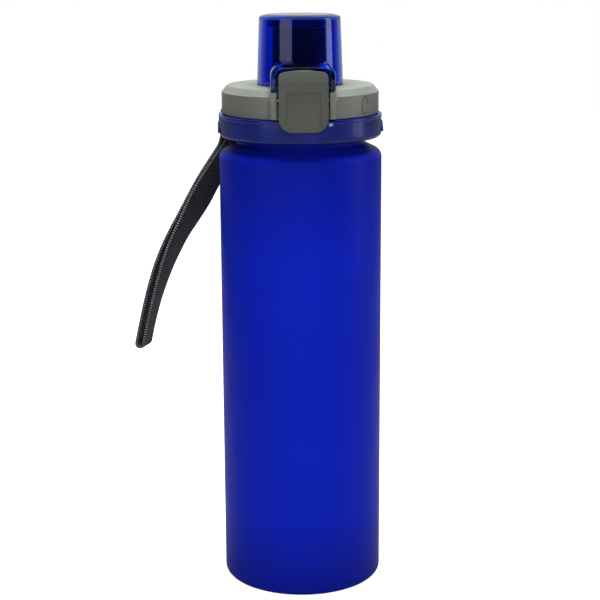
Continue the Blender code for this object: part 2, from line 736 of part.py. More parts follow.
def pins_and_springs():
    rod("latch_pin", LATCH_PIN, LATCH_PIN_RADIUS, 2 * (EAR_OUTER + FIT), STEEL, 16)
    rod("hinge_pin", HINGE, HINGE_PIN_RADIUS, 2 * (LUG_OUTER + FIT), STEEL, 16)
    steps = 12
    count = SPRING_TURNS * steps
    half = SPRING_BAY / 2 - FIT - SPRING_WIRE
    coil = []
    for i in range(count + steps // 2 + 1):
        angle = -pi / 2 - tau * i / steps
        x = -half + 2 * half * i / (count + steps // 2)
        y = HINGE.y + SPRING_RADIUS * cos(angle)
        coil.append((x, y, HINGE.z + SPRING_RADIUS * sin(angle)))
    lower_leg = (-half, HINGE.y - SPRING_LOWER_LEG, HINGE.z - SPRING_RADIUS)
    upper_leg = (half, CAP_RADIUS + SPRING_LEG_GAP, HINGE.z + SPRING_RADIUS)
    wire("cap_spring", [lower_leg, *coil, upper_leg], SPRING_WIRE, STEEL)
    z = LATCH_PIN.z - LATCH_SPRING_DROP
    first = -COVER_RADIUS - FIT - LATCH_SPRING_WIRE
    last = LATCH_FRONT + LATCH_THICKNESS + FIT + LATCH_SPRING_WIRE
    count = LATCH_SPRING_TURNS * steps
    radius = LATCH_SPRING_RADIUS
    coil = []
    for i in range(count + 1):
        angle = tau * i / steps
        y = first + (last - first) * i / count
        coil.append((radius * cos(angle), y, z + radius * sin(angle)))
    wire("latch_spring", coil, LATCH_SPRING_WIRE, STEEL)


# The strap's middle line as (left, back, down) from the lug's bar, and the way its width points.
STRAP_ROUTE = [
    ((0.0003, 0.0002, 0.0009), 50),
    ((0.0005, 0.0001, 0.0032), 50),
    ((0.0021, -0.0003, 0.0072), 50),
    ((0.0048, -0.0010, 0.0118), 48),
    ((0.0083, -0.0020, 0.0171), 44),
    ((0.0123, -0.0032, 0.0234), 40),
    ((0.0167, -0.0045, 0.0308), 42),
    ((0.0212, -0.0057, 0.0380), 54),
    ((0.0255, -0.0068, 0.0448), 64),
    ((0.0293, -0.0076, 0.0520), 68),
    ((0.0326, -0.0083, 0.0599), 72),
    ((0.0354, -0.0089, 0.0685), 77),
    ((0.0379, -0.0094, 0.0775), 82),
    ((0.0401, -0.0097, 0.0867), 86),
    ((0.0420, -0.0099, 0.0960), 88),
]
STRAP_CLEARS = (0, 0.2, 0.7)  # share of the body's overhang that each first point steps out by


def strap_section(centre, along, angle, width, thickness):
    """A flat rectangle across the strap's path."""
    flat = Vector((cos(radians(angle)), sin(radians(angle)), 0))
    across = (flat - along * flat.dot(along)).normalized()
    normal = along.cross(across)
    corners = ((1, 1), (-1, 1), (-1, -1), (1, -1))
    return [centre + across * width / 2 * a + normal * thickness / 2 * b for a, b in corners]


def strap():
    outward = Vector((cos(STRAP_LUG_ANGLE), sin(STRAP_LUG_ANGLE), 0))
    bar = outward * (RING_RADIUS + STRAP_LUG_REACH - STRAP_BAR / 2) + Vector((0, 0, LID_Z))
    centres = [bar + Vector((-left, back, -down)) for (left, back, down), _ in STRAP_ROUTE]
    for i, centre in enumerate(centres):
        share = STRAP_CLEARS[i] if i < len(STRAP_CLEARS) else 1
        centre += outward * (BODY_RADIUS - RING_RADIUS) * share
    sections = []
    last = len(centres) - 1
    for i, (centre, (_, angle)) in enumerate(zip(centres, STRAP_ROUTE)):
        along = (centres[min(i + 1, last)] - centres[max(i - 1, 0)]).normalized()
        sections.append(
            strap_section(centre, along, angle, STRAP_WIDTH, STRAP_THICKNESS)
        )
    loft("strap_loop", sections, WEBBING)


bottle_body()
inner_cap()
seals()
lock_ring()
lid_cover()
flip_cap()
latch()
pins_and_springs()
strap()
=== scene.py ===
"""Dresses a packed sports bottle: smooth mouldings, clear flip cap, steel pins and a woven wrist strap.

The bottle stands on the XY plane with its axis on Z. The latch faces -Y and the cap's hinge is at +Y.
Sizes are in metres. Run it in Blender 4.5; the panel is in the 3D view's sidebar, under Bottle.
"""

import json
from math import atan2, cos, pi, radians, sin, tan, tau

import bmesh
import bpy
from bpy.props import FloatProperty, FloatVectorProperty, IntProperty, PointerProperty
from mathutils import Matrix, Vector

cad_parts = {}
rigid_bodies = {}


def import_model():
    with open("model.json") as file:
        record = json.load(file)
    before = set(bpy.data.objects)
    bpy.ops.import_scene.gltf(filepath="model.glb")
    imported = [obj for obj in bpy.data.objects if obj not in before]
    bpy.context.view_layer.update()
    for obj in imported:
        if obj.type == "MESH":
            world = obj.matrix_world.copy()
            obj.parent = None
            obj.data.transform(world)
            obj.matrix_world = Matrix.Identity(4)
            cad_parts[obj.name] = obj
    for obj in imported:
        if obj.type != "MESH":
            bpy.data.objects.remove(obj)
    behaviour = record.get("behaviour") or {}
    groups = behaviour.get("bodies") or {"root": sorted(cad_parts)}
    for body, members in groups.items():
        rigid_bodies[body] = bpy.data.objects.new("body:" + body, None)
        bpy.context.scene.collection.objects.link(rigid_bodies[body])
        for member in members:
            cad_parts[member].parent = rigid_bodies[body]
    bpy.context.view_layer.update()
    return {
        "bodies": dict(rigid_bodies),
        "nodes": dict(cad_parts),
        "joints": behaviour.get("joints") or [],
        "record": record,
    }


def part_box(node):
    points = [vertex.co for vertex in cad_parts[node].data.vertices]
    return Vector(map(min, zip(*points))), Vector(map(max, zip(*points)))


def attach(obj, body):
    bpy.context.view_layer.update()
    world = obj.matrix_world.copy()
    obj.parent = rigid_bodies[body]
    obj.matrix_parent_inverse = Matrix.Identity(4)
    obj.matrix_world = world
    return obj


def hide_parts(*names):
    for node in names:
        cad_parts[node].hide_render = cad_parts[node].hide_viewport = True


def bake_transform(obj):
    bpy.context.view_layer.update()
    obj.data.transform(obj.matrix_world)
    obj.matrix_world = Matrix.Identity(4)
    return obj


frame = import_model()

bl_info = {
    "name": "Flip-Top Sports Bottle",
    "version": (1, 0, 0),
    "blender": (4, 5, 0),
    "location": "View3D > Sidebar > Bottle",
    "description": "Builds the pieces and finishes of a flip-top sports bottle",
    "category": "Add Mesh",
}

JOINTS = {joint["name"]: joint for joint in frame["joints"]}

# Places and radii that the frame gives
FIT = 0.0003
BODY_RADIUS, RIM_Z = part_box("bottle_body")[1].x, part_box("bottle_body")[1].z
CORE_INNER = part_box("mouth_gasket")[1].x + FIT
PLATE_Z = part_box("mouth_gasket")[1].z + FIT
NECK_RADIUS = CORE_INNER - 0.0017
RING_Z, RING_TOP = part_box("lock_ring")[0].z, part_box("lock_ring")[1].z
COVER_RADIUS, COVER_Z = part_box("lid_cover")[1].x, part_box("lid_cover")[0].z
RING_RADIUS = COVER_RADIUS + 0.0014
CAP_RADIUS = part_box("flip_cap")[1].x
CAP_Z, CAP_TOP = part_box("flip_cap")[0].z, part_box("flip_cap")[1].z
TOP_Z = CAP_Z - FIT
HOOD_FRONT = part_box("flip_cap")[0].y
SPOUT_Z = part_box("inner_cap")[1].z
LATCH_LOW, LATCH_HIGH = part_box("latch")
HINGE = Vector(JOINTS["cap_hinge"]["pos_m"])
LATCH_PIN = Vector(JOINTS["latch_rock"]["pos_m"])
FRONT = -pi / 2


class BottleSizes(bpy.types.PropertyGroup):
    """Wall thicknesses, roundings and facet counts of the mouldings."""

    body_wall: FloatProperty(
        name="Body wall", description="Wall of the bottle", default=0.002, unit="LENGTH"
    )
    shoulder_round: FloatProperty(
        name="Shoulder", description="Rounding where the wall turns in", default=0.004, unit="LENGTH"
    )
    cap_wall: FloatProperty(
        name="Cap wall", description="Wall of the clear cap", default=0.0015, unit="LENGTH"
    )
    facets: IntProperty(
        name="Facets", description="Faces round the large mouldings", default=144, min=24
    )


class StrapSizes(bpy.types.PropertyGroup):
    """The webbing of the wrist strap."""

    width: FloatProperty(
        name="Width", description="Across the webbing", default=0.0128, unit="LENGTH"
    )
    thickness: FloatProperty(
        name="Thickness", description="Of one layer", default=0.00125, unit="LENGTH"
    )
    rib: FloatProperty(
        name="Rib pitch", description="From one rib of the weave to the next", default=0.0011, unit="LENGTH"
    )


class BottleColours(bpy.types.PropertyGroup):
    """Linear colours of the finishes."""

    body: FloatVectorProperty(
        name="Body", description="Satin bottle", subtype="COLOR", default=(0.0015, 0.013, 0.45)
    )
    # Painted shade: the colour the satin bottle is darkened towards near its base and shoulder, and faintly
    # at random.
    body_painted_shade_and_tone: FloatVectorProperty(
        name="Body painted shade and tone",
        description="Satin bottle towards its ends",
        subtype="COLOR",
        default=(0.003, 0.006, 0.16),
    )
    cap: FloatVectorProperty(
        name="Cap", description="Clear cap", subtype="COLOR", default=(0.02, 0.12, 0.80)
    )
    ring: FloatVectorProperty(
        name="Ring", description="Lock ring", subtype="COLOR", default=(0.002, 0.010, 0.12)
    )
    lid: FloatVectorProperty(
        name="Lid", description="Grey lid", subtype="COLOR", default=(0.138, 0.148, 0.130)
    )
    latch: FloatVectorProperty(
        name="Latch", description="Grey latch", subtype="COLOR", default=(0.064, 0.070, 0.058)
    )
    webbing: FloatVectorProperty(
        name="Webbing", description="Strap yarn", subtype="COLOR", default=(0.0055, 0.006, 0.007)
    )


# Node groups and materials


def group(name, inputs, outputs):
    """An empty shader node group with its input and output nodes."""
    made = bpy.data.node_groups.new(name, "ShaderNodeTree")
    for label, kind, value in inputs:
        socket = made.interface.new_socket(label, in_out="INPUT", socket_type=kind)
        socket.default_value = value
    for label, kind in outputs:
        made.interface.new_socket(label, in_out="OUTPUT", socket_type=kind)
    enter = made.nodes.new("NodeGroupInput")
    leave = made.nodes.new("NodeGroupOutput")
    return made, enter.outputs, leave.inputs


def add(tree, kind, links=(), **values):
    """A node, its settings, and what feeds its sockets."""
    node = tree.nodes.new(kind)
    for key, value in values.items():
        setattr(node, key, value)
    for socket, source in links:
        if isinstance(source, bpy.types.NodeSocket):
            tree.links.new(source, node.inputs[socket])
        else:
            node.inputs[socket].default_value = source
    return node


def math(tree, operation, a, b=0.0):
    return add(tree, "ShaderNodeMath", [(0, a), (1, b)], operation=operation).outputs[0]


def mix(tree, factor, a, b):
    node = add(tree, "ShaderNodeMix", [(0, factor), (6, a), (7, b)], data_type="RGBA")
    return node.outputs[2]


def span(tree, value, low, high, out_low=0.0, out_high=1.0):
    links = [(0, value), (1, low), (2, high), (3, out_low), (4, out_high)]
    return add(tree, "ShaderNodeMapRange", links).outputs[0]


def grain_group():
    """Fine moulded texture with slow changes of tone."""
    tree, inputs, outputs = group(
        "Moulded Grain",
        [("Grain Size", "NodeSocketFloat", 0.0004), ("Drift Size", "NodeSocketFloat", 0.03)],
        [("Height", "NodeSocketFloat"), ("Drift", "NodeSocketFloat")],
    )
    where = add(tree, "ShaderNodeTexCoord").outputs["Object"]
    fine = math(tree, "DIVIDE", 1.0, inputs["Grain Size"])
    slow = math(tree, "DIVIDE", 1.0, inputs["Drift Size"])
    grain = add(tree, "ShaderNodeTexNoise", [("Vector", where), ("Scale", fine), ("Detail", 3.0)])
    drift = add(tree, "ShaderNodeTexNoise", [("Vector", where), ("Scale", slow), ("Detail", 2.0)])
    tree.links.new(grain.outputs["Fac"], outputs["Height"])
    tree.links.new(span(tree, drift.outputs["Fac"], 0.35, 0.65), outputs["Drift"])
    return tree


def edge_highlight_and_wear_group():
    """Painted highlight on sharp rims: a lighter colour in a speckled mask, where the gloss is also smoother,
    as from rubbing.
    """
    tree, inputs, outputs = group(
        "Painted Edge Highlight and Wear",
        [
            ("Color", "NodeSocketColor", (0.5, 0.5, 0.5, 1)),
            ("Worn Color", "NodeSocketColor", (0.6, 0.6, 0.6, 1)),
            ("Roughness", "NodeSocketFloat", 0.5),
            ("Amount", "NodeSocketFloat", 0.5),
        ],
        [("Color", "NodeSocketColor"), ("Roughness", "NodeSocketFloat")],
    )
    where = add(tree, "ShaderNodeTexCoord").outputs["Object"]
    curve = add(tree, "ShaderNodeNewGeometry").outputs["Pointiness"]
    speckle = add(tree, "ShaderNodeTexNoise", [("Vector", where), ("Scale", 700.0), ("Detail", 4.0)])
    # Painted highlight: rims that pointiness finds sharp are lightened towards the highlight colour.
    edge = span(tree, curve, 0.505, 0.56)
    rubbed_and_highlit = math(tree, "MULTIPLY", edge, span(tree, speckle.outputs["Fac"], 0.3, 0.6))
    rubbed_and_highlit = math(tree, "MULTIPLY", rubbed_and_highlit, inputs["Amount"])
    colour = mix(tree, rubbed_and_highlit, inputs["Color"], inputs["Worn Color"])
    smoother = math(tree, "MULTIPLY", rubbed_and_highlit, 0.15)
    tree.links.new(colour, outputs["Color"])
    tree.links.new(math(tree, "SUBTRACT", inputs["Roughness"], smoother), outputs["Roughness"])
    return tree


def handled_group():
    """Faint smudges and fine scuffs that change only the gloss."""
    tree, inputs, outputs = group(
        "Handled Gloss",
        [("Roughness", "NodeSocketFloat", 0.4), ("Smudge", "NodeSocketFloat", 0.05)],
        [("Roughness", "NodeSocketFloat")],
    )
    where = add(tree, "ShaderNodeTexCoord").outputs["Object"]
    smudge = add(
        tree, "ShaderNodeTexNoise", [("Vector", where), ("Scale", 60.0), ("Detail", 5.0), ("Distortion", 1.2)]
    )
    amount = math(tree, "MULTIPLY", span(tree, smudge.outputs["Fac"], 0.4, 0.7), inputs["Smudge"])
    tree.links.new(math(tree, "ADD", inputs["Roughness"], amount), outputs["Roughness"])
    return tree


def weave_group():
    """Yarns of plain webbing, read from a UV map in millimetres: U across, V along, with painted highlights
    on the raised yarns and on the selvedge beads.
    """
    tree, inputs, outputs = group(
        "Webbing Weave",
        [
            ("UV", "NodeSocketVector", (0, 0, 0)),
            ("Rib", "NodeSocketFloat", 1.1),
            ("Yarn", "NodeSocketFloat", 0.55),
            ("Half Width", "NodeSocketFloat", 6.4),
            ("Color", "NodeSocketColor", (0.02, 0.02, 0.02, 1)),
            ("Fibre Color", "NodeSocketColor", (0.08, 0.08, 0.09, 1)),
            ("Bead Color", "NodeSocketColor", (0.15, 0.15, 0.16, 1)),
        ],
        [("Color", "NodeSocketColor"), ("Height", "NodeSocketFloat")],
    )
    parts = add(tree, "ShaderNodeSeparateXYZ", [(0, inputs["UV"])])
    across, along = parts.outputs[0], parts.outputs[1]
    slant = math(tree, "SUBTRACT", along, math(tree, "MULTIPLY", across, 0.5))
    rib_phase = math(tree, "MULTIPLY", math(tree, "DIVIDE", slant, inputs["Rib"]), tau)
    yarn_phase = math(tree, "MULTIPLY", math(tree, "DIVIDE", across, inputs["Yarn"]), tau)
    rib = span(tree, math(tree, "COSINE", rib_phase), -1.0, 1.0)
    yarn = span(tree, math(tree, "COSINE", math(tree, "ADD", yarn_phase, rib_phase)), -1.0, 1.0)
    fibre = add(tree, "ShaderNodeTexNoise", [("Vector", inputs["UV"]), ("Scale", 4.0), ("Detail", 6.0)])
    raised = math(tree, "MULTIPLY", rib, yarn)
    # Painted highlight: the raised yarn crests are lightened, broken up by fibre noise.
    light = math(tree, "MULTIPLY", raised, span(tree, fibre.outputs["Fac"], 0.35, 0.7))
    face = mix(tree, light, inputs["Color"], inputs["Fibre Color"])
    inset = math(tree, "SUBTRACT", inputs["Half Width"], math(tree, "ABSOLUTE", across))
    # Painted highlight: the beads along each selvedge are lightened where the rib rises.
    bead = math(tree, "MULTIPLY", span(tree, inset, 0.8, 0.6), span(tree, rib, 0.35, 0.75))
    tree.links.new(mix(tree, bead, face, inputs["Bead Color"]), outputs["Color"])
    fuzz = math(tree, "MULTIPLY", fibre.outputs["Fac"], 0.4)
    height = math(tree, "ADD", math(tree, "MULTIPLY", raised, 0.8), fuzz)
    tree.links.new(height, outputs["Height"])
    return tree


def effect(name, maker):
    return bpy.data.node_groups.get(name) or maker()


def place_group(tree, name, maker, **values):
    node = tree.nodes.new("ShaderNodeGroup")
    node.node_tree = effect(name, maker)
    for label, value in values.items():
        socket = node.inputs[label.replace("_", " ")]
        if isinstance(value, bpy.types.NodeSocket):
            tree.links.new(value, socket)
        else:
            socket.default_value = value
    return node


def shader(name, **constants):
    """A material, its node tree and its Principled BSDF with its constant sockets set."""
    made = bpy.data.materials.new(name)
    made.use_nodes = True
    tree = made.node_tree
    bsdf = tree.nodes["Principled BSDF"]
    for label, value in constants.items():
        bsdf.inputs[label.replace("_", " ")].default_value = value
    return made, tree, bsdf


def bump(tree, bsdf, height, distance, strength=1.0):
    node = add(tree, "ShaderNodeBump", [("Strength", strength), ("Distance", distance), ("Height", height)])
    tree.links.new(node.outputs[0], bsdf.inputs["Normal"])


def solid(colour):
    return (*colour, 1.0)


def satin_blue(colours):
    """The bottle's rubber-feel coat: painted shade darkens it towards the base and the shoulder, over a faint
    random tone.
    """
    made, tree, bsdf = shader(
        "satin_blue_coat", IOR=1.45, Specular_IOR_Level=0.06
    )
    grain = place_group(tree, "Moulded Grain", grain_group, Grain_Size=0.00035, Drift_Size=0.05)
    where = add(tree, "ShaderNodeTexCoord").outputs["Object"]
    height = add(tree, "ShaderNodeSeparateXYZ", [(0, where)]).outputs[2]
    # Painted shade: darker towards the base and towards the shoulder; the drift adds a faint random tone.
    low = span(tree, height, 0.0, 0.035, 1.0, 0.0)
    high = span(tree, height, 0.15, 0.20)
    ends = math(tree, "MAXIMUM", low, high)
    clouded = math(tree, "MULTIPLY", grain.outputs["Drift"], 0.1)
    depth = math(tree, "ADD", math(tree, "MULTIPLY", ends, 0.6), clouded)
    colour = mix(tree, depth, solid(colours.body), solid(colours.body_painted_shade_and_tone))
    tree.links.new(colour, bsdf.inputs["Base Color"])
    gloss = place_group(tree, "Handled Gloss", handled_group, Roughness=0.40, Smudge=0.06)
    tree.links.new(gloss.outputs[0], bsdf.inputs["Roughness"])
    bump(tree, bsdf, grain.outputs["Height"], 0.00002)
    return made


def moulded(name, colour, edge_highlight_colour, roughness, depth, edge_highlight_amount):
    """Grained opaque plastic with painted highlights and smoother gloss on its sharp edges."""
    made, tree, bsdf = shader(name, IOR=1.46)
    grain = place_group(tree, "Moulded Grain", grain_group, Grain_Size=0.0003, Drift_Size=0.02)
    darker = tuple(c * 0.90 for c in colour)
    tone = mix(tree, grain.outputs["Drift"], solid(colour), solid(darker))
    edge = place_group(
        tree, "Painted Edge Highlight and Wear", edge_highlight_and_wear_group, Color=tone, Worn_Color=solid(edge_highlight_colour), Roughness=roughness, Amount=edge_highlight_amount
    )
    rubbed_and_highlit = edge.outputs["Roughness"]
    gloss = place_group(tree, "Handled Gloss", handled_group, Roughness=rubbed_and_highlit, Smudge=0.08)
    tree.links.new(edge.outputs["Color"], bsdf.inputs["Base Color"])
    tree.links.new(gloss.outputs[0], bsdf.inputs["Roughness"])
    bump(tree, bsdf, grain.outputs["Height"], depth)
    return made


def ring_blue(colours):
    """Dense tinted plastic with a glossy skin over faint flow lines."""
    made, tree, bsdf = shader(
        "tinted_ring_plastic", IOR=1.5, Specular_IOR_Level=0.15, Coat_Weight=0.2, Coat_Roughness=0.06
    )
    grain = place_group(tree, "Moulded Grain", grain_group, Grain_Size=0.0008, Drift_Size=0.012)
    where = add(tree, "ShaderNodeTexCoord").outputs["Object"]
    stretched = add(tree, "ShaderNodeMapping", [("Vector", where), ("Scale", (60.0, 60.0, 900.0))])
    lines = stretched.outputs[0]
    flow = add(tree, "ShaderNodeTexNoise", [("Vector", lines), ("Scale", 1.0), ("Detail", 3.0)])
    lighter = tuple(c * 1.9 + 0.004 for c in colours.ring)
    tone = math(tree, "MULTIPLY", flow.outputs["Fac"], grain.outputs["Drift"])
    tree.links.new(mix(tree, tone, solid(colours.ring), solid(lighter)), bsdf.inputs["Base Color"])
    gloss = place_group(tree, "Handled Gloss", handled_group, Roughness=0.30, Smudge=0.08)
    tree.links.new(gloss.outputs[0], bsdf.inputs["Roughness"])
    bump(tree, bsdf, flow.outputs["Fac"], 0.00003)
    return made


def clear_blue(colours):
    """Tinted clear plastic with faint handling marks."""
    made, tree, bsdf = shader("tinted_clear_plastic", IOR=1.49, Transmission_Weight=1.0)
    grain = place_group(tree, "Moulded Grain", grain_group, Grain_Size=0.002, Drift_Size=0.02)
    deeper = tuple(c * 0.85 for c in colours.cap)
    colour = mix(tree, grain.outputs["Drift"], solid(colours.cap), solid(deeper))
    tree.links.new(colour, bsdf.inputs["Base Color"])
    gloss = place_group(tree, "Handled Gloss", handled_group, Roughness=0.015, Smudge=0.02)
    tree.links.new(gloss.outputs[0], bsdf.inputs["Roughness"])
    return made


def silicone():
    made, tree, bsdf = shader("silicone_rubber", IOR=1.41, Subsurface_Weight=0.15, Subsurface_Scale=0.001)
    grain = place_group(tree, "Moulded Grain", grain_group, Grain_Size=0.0005, Drift_Size=0.006)
    colour = mix(tree, grain.outputs["Drift"], (0.55, 0.56, 0.55, 1), (0.46, 0.47, 0.46, 1))
    tree.links.new(colour, bsdf.inputs["Base Color"])
    tree.links.new(span(tree, grain.outputs["Height"], 0.3, 0.7, 0.5, 0.65), bsdf.inputs["Roughness"])
    bump(tree, bsdf, grain.outputs["Height"], 0.00002)
    return made


def steel():
    """Drawn stainless wire and rod."""
    made, tree, bsdf = shader("drawn_steel", Metallic=1.0)
    where = add(tree, "ShaderNodeTexCoord").outputs["Object"]
    drawn = add(tree, "ShaderNodeMapping", [("Vector", where), ("Scale", (300.0, 9000.0, 9000.0))])
    lines = add(tree, "ShaderNodeTexNoise", [("Vector", drawn.outputs[0]), ("Scale", 1.0), ("Detail", 4.0)])
    fac = lines.outputs["Fac"]
    tree.links.new(mix(tree, fac, (0.62, 0.62, 0.61, 1), (0.42, 0.42, 0.42, 1)), bsdf.inputs["Base Color"])
    tree.links.new(span(tree, fac, 0.3, 0.7, 0.2, 0.42), bsdf.inputs["Roughness"])
    bump(tree, bsdf, fac, 0.000005)
    return made


def webbing(colours, sizes):
    made, tree, bsdf = shader("woven_webbing", Sheen_Weight=0.06, Sheen_Roughness=0.5, IOR=1.4)
    uv = add(tree, "ShaderNodeUVMap", uv_map="weave").outputs[0]
    # Colours of the painted highlights on the raised yarns and on the selvedge beads.
    lighter = tuple(c * 8 + 0.045 for c in colours.webbing)
    bead_highlight = tuple(c * 12 + 0.05 for c in colours.webbing)
    weave = place_group(
        tree,
        "Webbing Weave",
        weave_group,
        UV=uv,
        Rib=sizes.rib * 1000,
        Color=solid(colours.webbing),
        Fibre_Color=solid(lighter),
        Bead_Color=solid(bead_highlight),
        Half_Width=sizes.width * 500,
    )
    tree.links.new(weave.outputs["Color"], bsdf.inputs["Base Color"])
    tree.links.new(span(tree, weave.outputs["Height"], 0.0, 1.0, 0.9, 0.62), bsdf.inputs["Roughness"])
    bump(tree, bsdf, weave.outputs["Height"], 0.0002)
    return made


def sewing_thread(name, colour):
    made, tree, bsdf = shader(name, Sheen_Weight=0.3, IOR=1.4)
    where = add(tree, "ShaderNodeTexCoord").outputs["Object"]
    twist = add(tree, "ShaderNodeTexWave", [("Vector", where), ("Scale", 900.0), ("Distortion", 2.0)])
    darker = tuple(c * 0.5 for c in colour)
    tree.links.new(mix(tree, twist.outputs["Fac"], solid(colour), solid(darker)), bsdf.inputs["Base Color"])
    tree.links.new(span(tree, twist.outputs["Fac"], 0.0, 1.0, 0.6, 0.85), bsdf.inputs["Roughness"])
    bump(tree, bsdf, twist.outputs["Fac"], 0.00004)
    return made


def finish_of(name):
    """The finish with this name, made the first time that a piece asks for it."""
    colours, sizes = bpy.context.scene.bottle_colours, bpy.context.scene.strap_sizes
    makers = {
        "satin_blue_coat": lambda: satin_blue(colours),
        "tinted_ring_plastic": lambda: ring_blue(colours),
        "tinted_clear_plastic": lambda: clear_blue(colours),
        # The second colour of each moulded finish is its painted edge highlight.
        "grained_lid_plastic": lambda: moulded(
            "grained_lid_plastic", tuple(colours.lid), (0.22, 0.23, 0.21), 0.44, 0.00002, 0.12
        ),
        "grained_latch_plastic": lambda: moulded(
            "grained_latch_plastic", tuple(colours.latch), (0.12, 0.13, 0.11), 0.40, 0.00002, 0.12
        ),
        "mark_grey": lambda: moulded(
            "mark_grey", (0.045, 0.048, 0.043), (0.08, 0.08, 0.08), 0.6, 0.00001, 0.2
        ),
        "mark_pale": lambda: moulded("mark_pale", (0.30, 0.30, 0.48), (0.5, 0.5, 0.6), 0.4, 0.00001, 0.2),
        "silicone_rubber": silicone,
        "drawn_steel": steel,
        "woven_webbing": lambda: webbing(colours, sizes),
        "tack_thread": lambda: sewing_thread("tack_thread", (0.05, 0.05, 0.055)),
    }
    return bpy.data.materials.get(name) or makers[name]()


# Mesh tools


def rounded(corners, closed=False, segments=5):
    """Points of an outline whose corners are (a, b, rounding)."""
    points, count = [], len(corners)
    for i, (a, b, rounding) in enumerate(corners):
        corner = Vector((a, b))
        if not rounding or (not closed and i in (0, count - 1)):
            points.append(corner)
            continue
        before = (Vector(corners[i - 1][:2]) - corner).normalized()
        after = (Vector(corners[(i + 1) % count][:2]) - corner).normalized()
        half = before.angle(after) / 2
        centre = corner + (before + after).normalized() * rounding / sin(half)
        first = corner + before * rounding / tan(half) - centre
        last = corner + after * rounding / tan(half) - centre
        turn = first.angle(last)
        for k in range(segments + 1):
            t = k / segments
            spoke = (first * sin((1 - t) * turn) + last * sin(t * turn)) / sin(turn)
            points.append(centre + spoke)
    return points


def make(name, bm, sharp=32.0):
    """A smooth-shaded object from a bmesh, which it frees."""
    mesh = bpy.data.meshes.new(name)
    bm.to_mesh(mesh)
    bm.free()
    mesh.shade_smooth()
    mesh.set_sharp_from_angle(angle=radians(sharp))
    obj = bpy.data.objects.new(name, mesh)
    bpy.context.scene.collection.objects.link(obj)
    return obj


def spun(bm, corners, steps=None, closed=False, segments=5, centre=(0, 0, 0), axis="Z"):
    """Adds an outline of (radius, height) corners turned round an axis through a point."""
    steps = steps or bpy.context.scene.bottle_sizes.facets
    verts = [bm.verts.new((r, 0, z)) for r, z in rounded(corners, closed, segments)]
    pairs = zip(verts, verts[1:] + verts[:1]) if closed else zip(verts, verts[1:])
    edges = [bm.edges.new(pair) for pair in pairs]
    bmesh.ops.spin(
        bm, geom=verts + edges, cent=(0, 0, 0), axis=(0, 0, 1), angle=tau, steps=steps, use_merge=True
    )
    fresh = connected(verts)
    bmesh.ops.remove_doubles(bm, verts=fresh, dist=1e-7)
    fresh = connected([v for v in verts if v.is_valid])
    if axis != "Z":
        turn = Matrix.Rotation(pi / 2, 3, "Y" if axis == "X" else "X")
        bmesh.ops.rotate(bm, cent=(0, 0, 0), matrix=turn, verts=fresh)
    bmesh.ops.translate(bm, vec=centre, verts=fresh)
    faces = list({f for v in fresh for f in v.link_faces})
    bmesh.ops.recalc_face_normals(bm, faces=faces)
    return fresh


def connected(seeds):
    """Every vertex that these reach along edges."""
    found, waiting = set(seeds), list(seeds)
    while waiting:
        for edge in waiting.pop().link_edges:
            for vert in edge.verts:
                if vert not in found:
                    found.add(vert)
                    waiting.append(vert)
    return list(found)


def slab(bm, outline, axis, low, high, bevel=0.0, segments=3):
    """Adds an outline extruded along X, as (y, z), or along Y, as (x, z), with its rims rounded."""
    place = (lambda p, d: (d, p[0], p[1])) if axis == "X" else (lambda p, d: (p[0], d, p[1]))
    face = bm.faces.new([bm.verts.new(place(p, low)) for p in outline])
    grown = bmesh.ops.extrude_face_region(bm, geom=[face], use_keep_orig=True)["geom"]
    far = [v for v in grown if isinstance(v, bmesh.types.BMVert)]
    shift = Vector(place((0, 0), high)) - Vector(place((0, 0), low))
    bmesh.ops.translate(bm, vec=shift, verts=far)
    cap = next(f for f in grown if isinstance(f, bmesh.types.BMFace))
    whole = connected(far)
    bmesh.ops.recalc_face_normals(bm, faces=list({f for v in whole for f in v.link_faces}))
    if bevel:
        rims = list(face.edges) + list(cap.edges)
        bmesh.ops.bevel(
            bm, geom=rims, offset=bevel, segments=segments, profile=0.5, affect="EDGES", material=-1
        )
    return whole


def wire(name, paths, radius, sides=3, closed=False):
    """An object of round wires along these paths, with filled ends."""
    curve = bpy.data.curves.new(name, "CURVE")
    curve.dimensions = "3D"
    curve.bevel_depth = radius
    curve.bevel_resolution = sides
    curve.use_fill_caps = True
    for path in paths:
        spline = curve.splines.new("POLY")
        spline.points.add(len(path) - 1)
        spline.use_cyclic_u = closed
        for point, at in zip(spline.points, path):
            point.co = (*at, 1)
    guide = bpy.data.objects.new(name + "_guide", curve)
    bpy.context.scene.collection.objects.link(guide)
    graph = bpy.context.evaluated_depsgraph_get()
    bm = bmesh.new()
    bm.from_mesh(bpy.data.meshes.new_from_object(guide.evaluated_get(graph)))
    bpy.data.objects.remove(guide)
    bmesh.ops.remove_doubles(bm, verts=bm.verts, dist=1e-7)
    bmesh.ops.recalc_face_normals(bm, faces=bm.faces)
    return make(name, bm, sharp=50.0)


def shape(obj, others, operation):
    """Joins or cuts an object with others, which it uses up."""
    for other in others:
        step = obj.modifiers.new(other.name, "BOOLEAN")
        step.object = other
        step.operation = operation
    settle(obj)
    for other in others:
        bpy.data.objects.remove(other)


def settle(obj, sharp=32.0):
    """Makes an object's modifiers part of its mesh."""
    graph = bpy.context.evaluated_depsgraph_get()
    mesh = bpy.data.meshes.new_from_object(obj.evaluated_get(graph))
    obj.modifiers.clear()
    obj.data = mesh
    mesh.name = obj.name
    mesh.shade_smooth()
    mesh.set_sharp_from_angle(angle=radians(sharp))


def soften(obj, width, segments=2, angle=38.0):
    """Rounds an object's remaining sharp edges."""
    step = obj.modifiers.new("Soft edges", "BEVEL")
    step.width = width
    step.segments = segments
    step.limit_method = "ANGLE"
    step.angle_limit = radians(angle)
    step.use_clamp_overlap = True
    step.harden_normals = False
    settle(obj)


def dress(obj, body, finish, slot, *replaced):
    """Gives a finished piece its material and any body it rides on, and hides the nodes it stands for. The
    slot is not used.
    """
    obj.data.materials.clear()
    obj.data.materials.append(finish_of(finish))
    if body:
        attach(obj, body)
    if replaced:
        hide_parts(*replaced)
    return obj


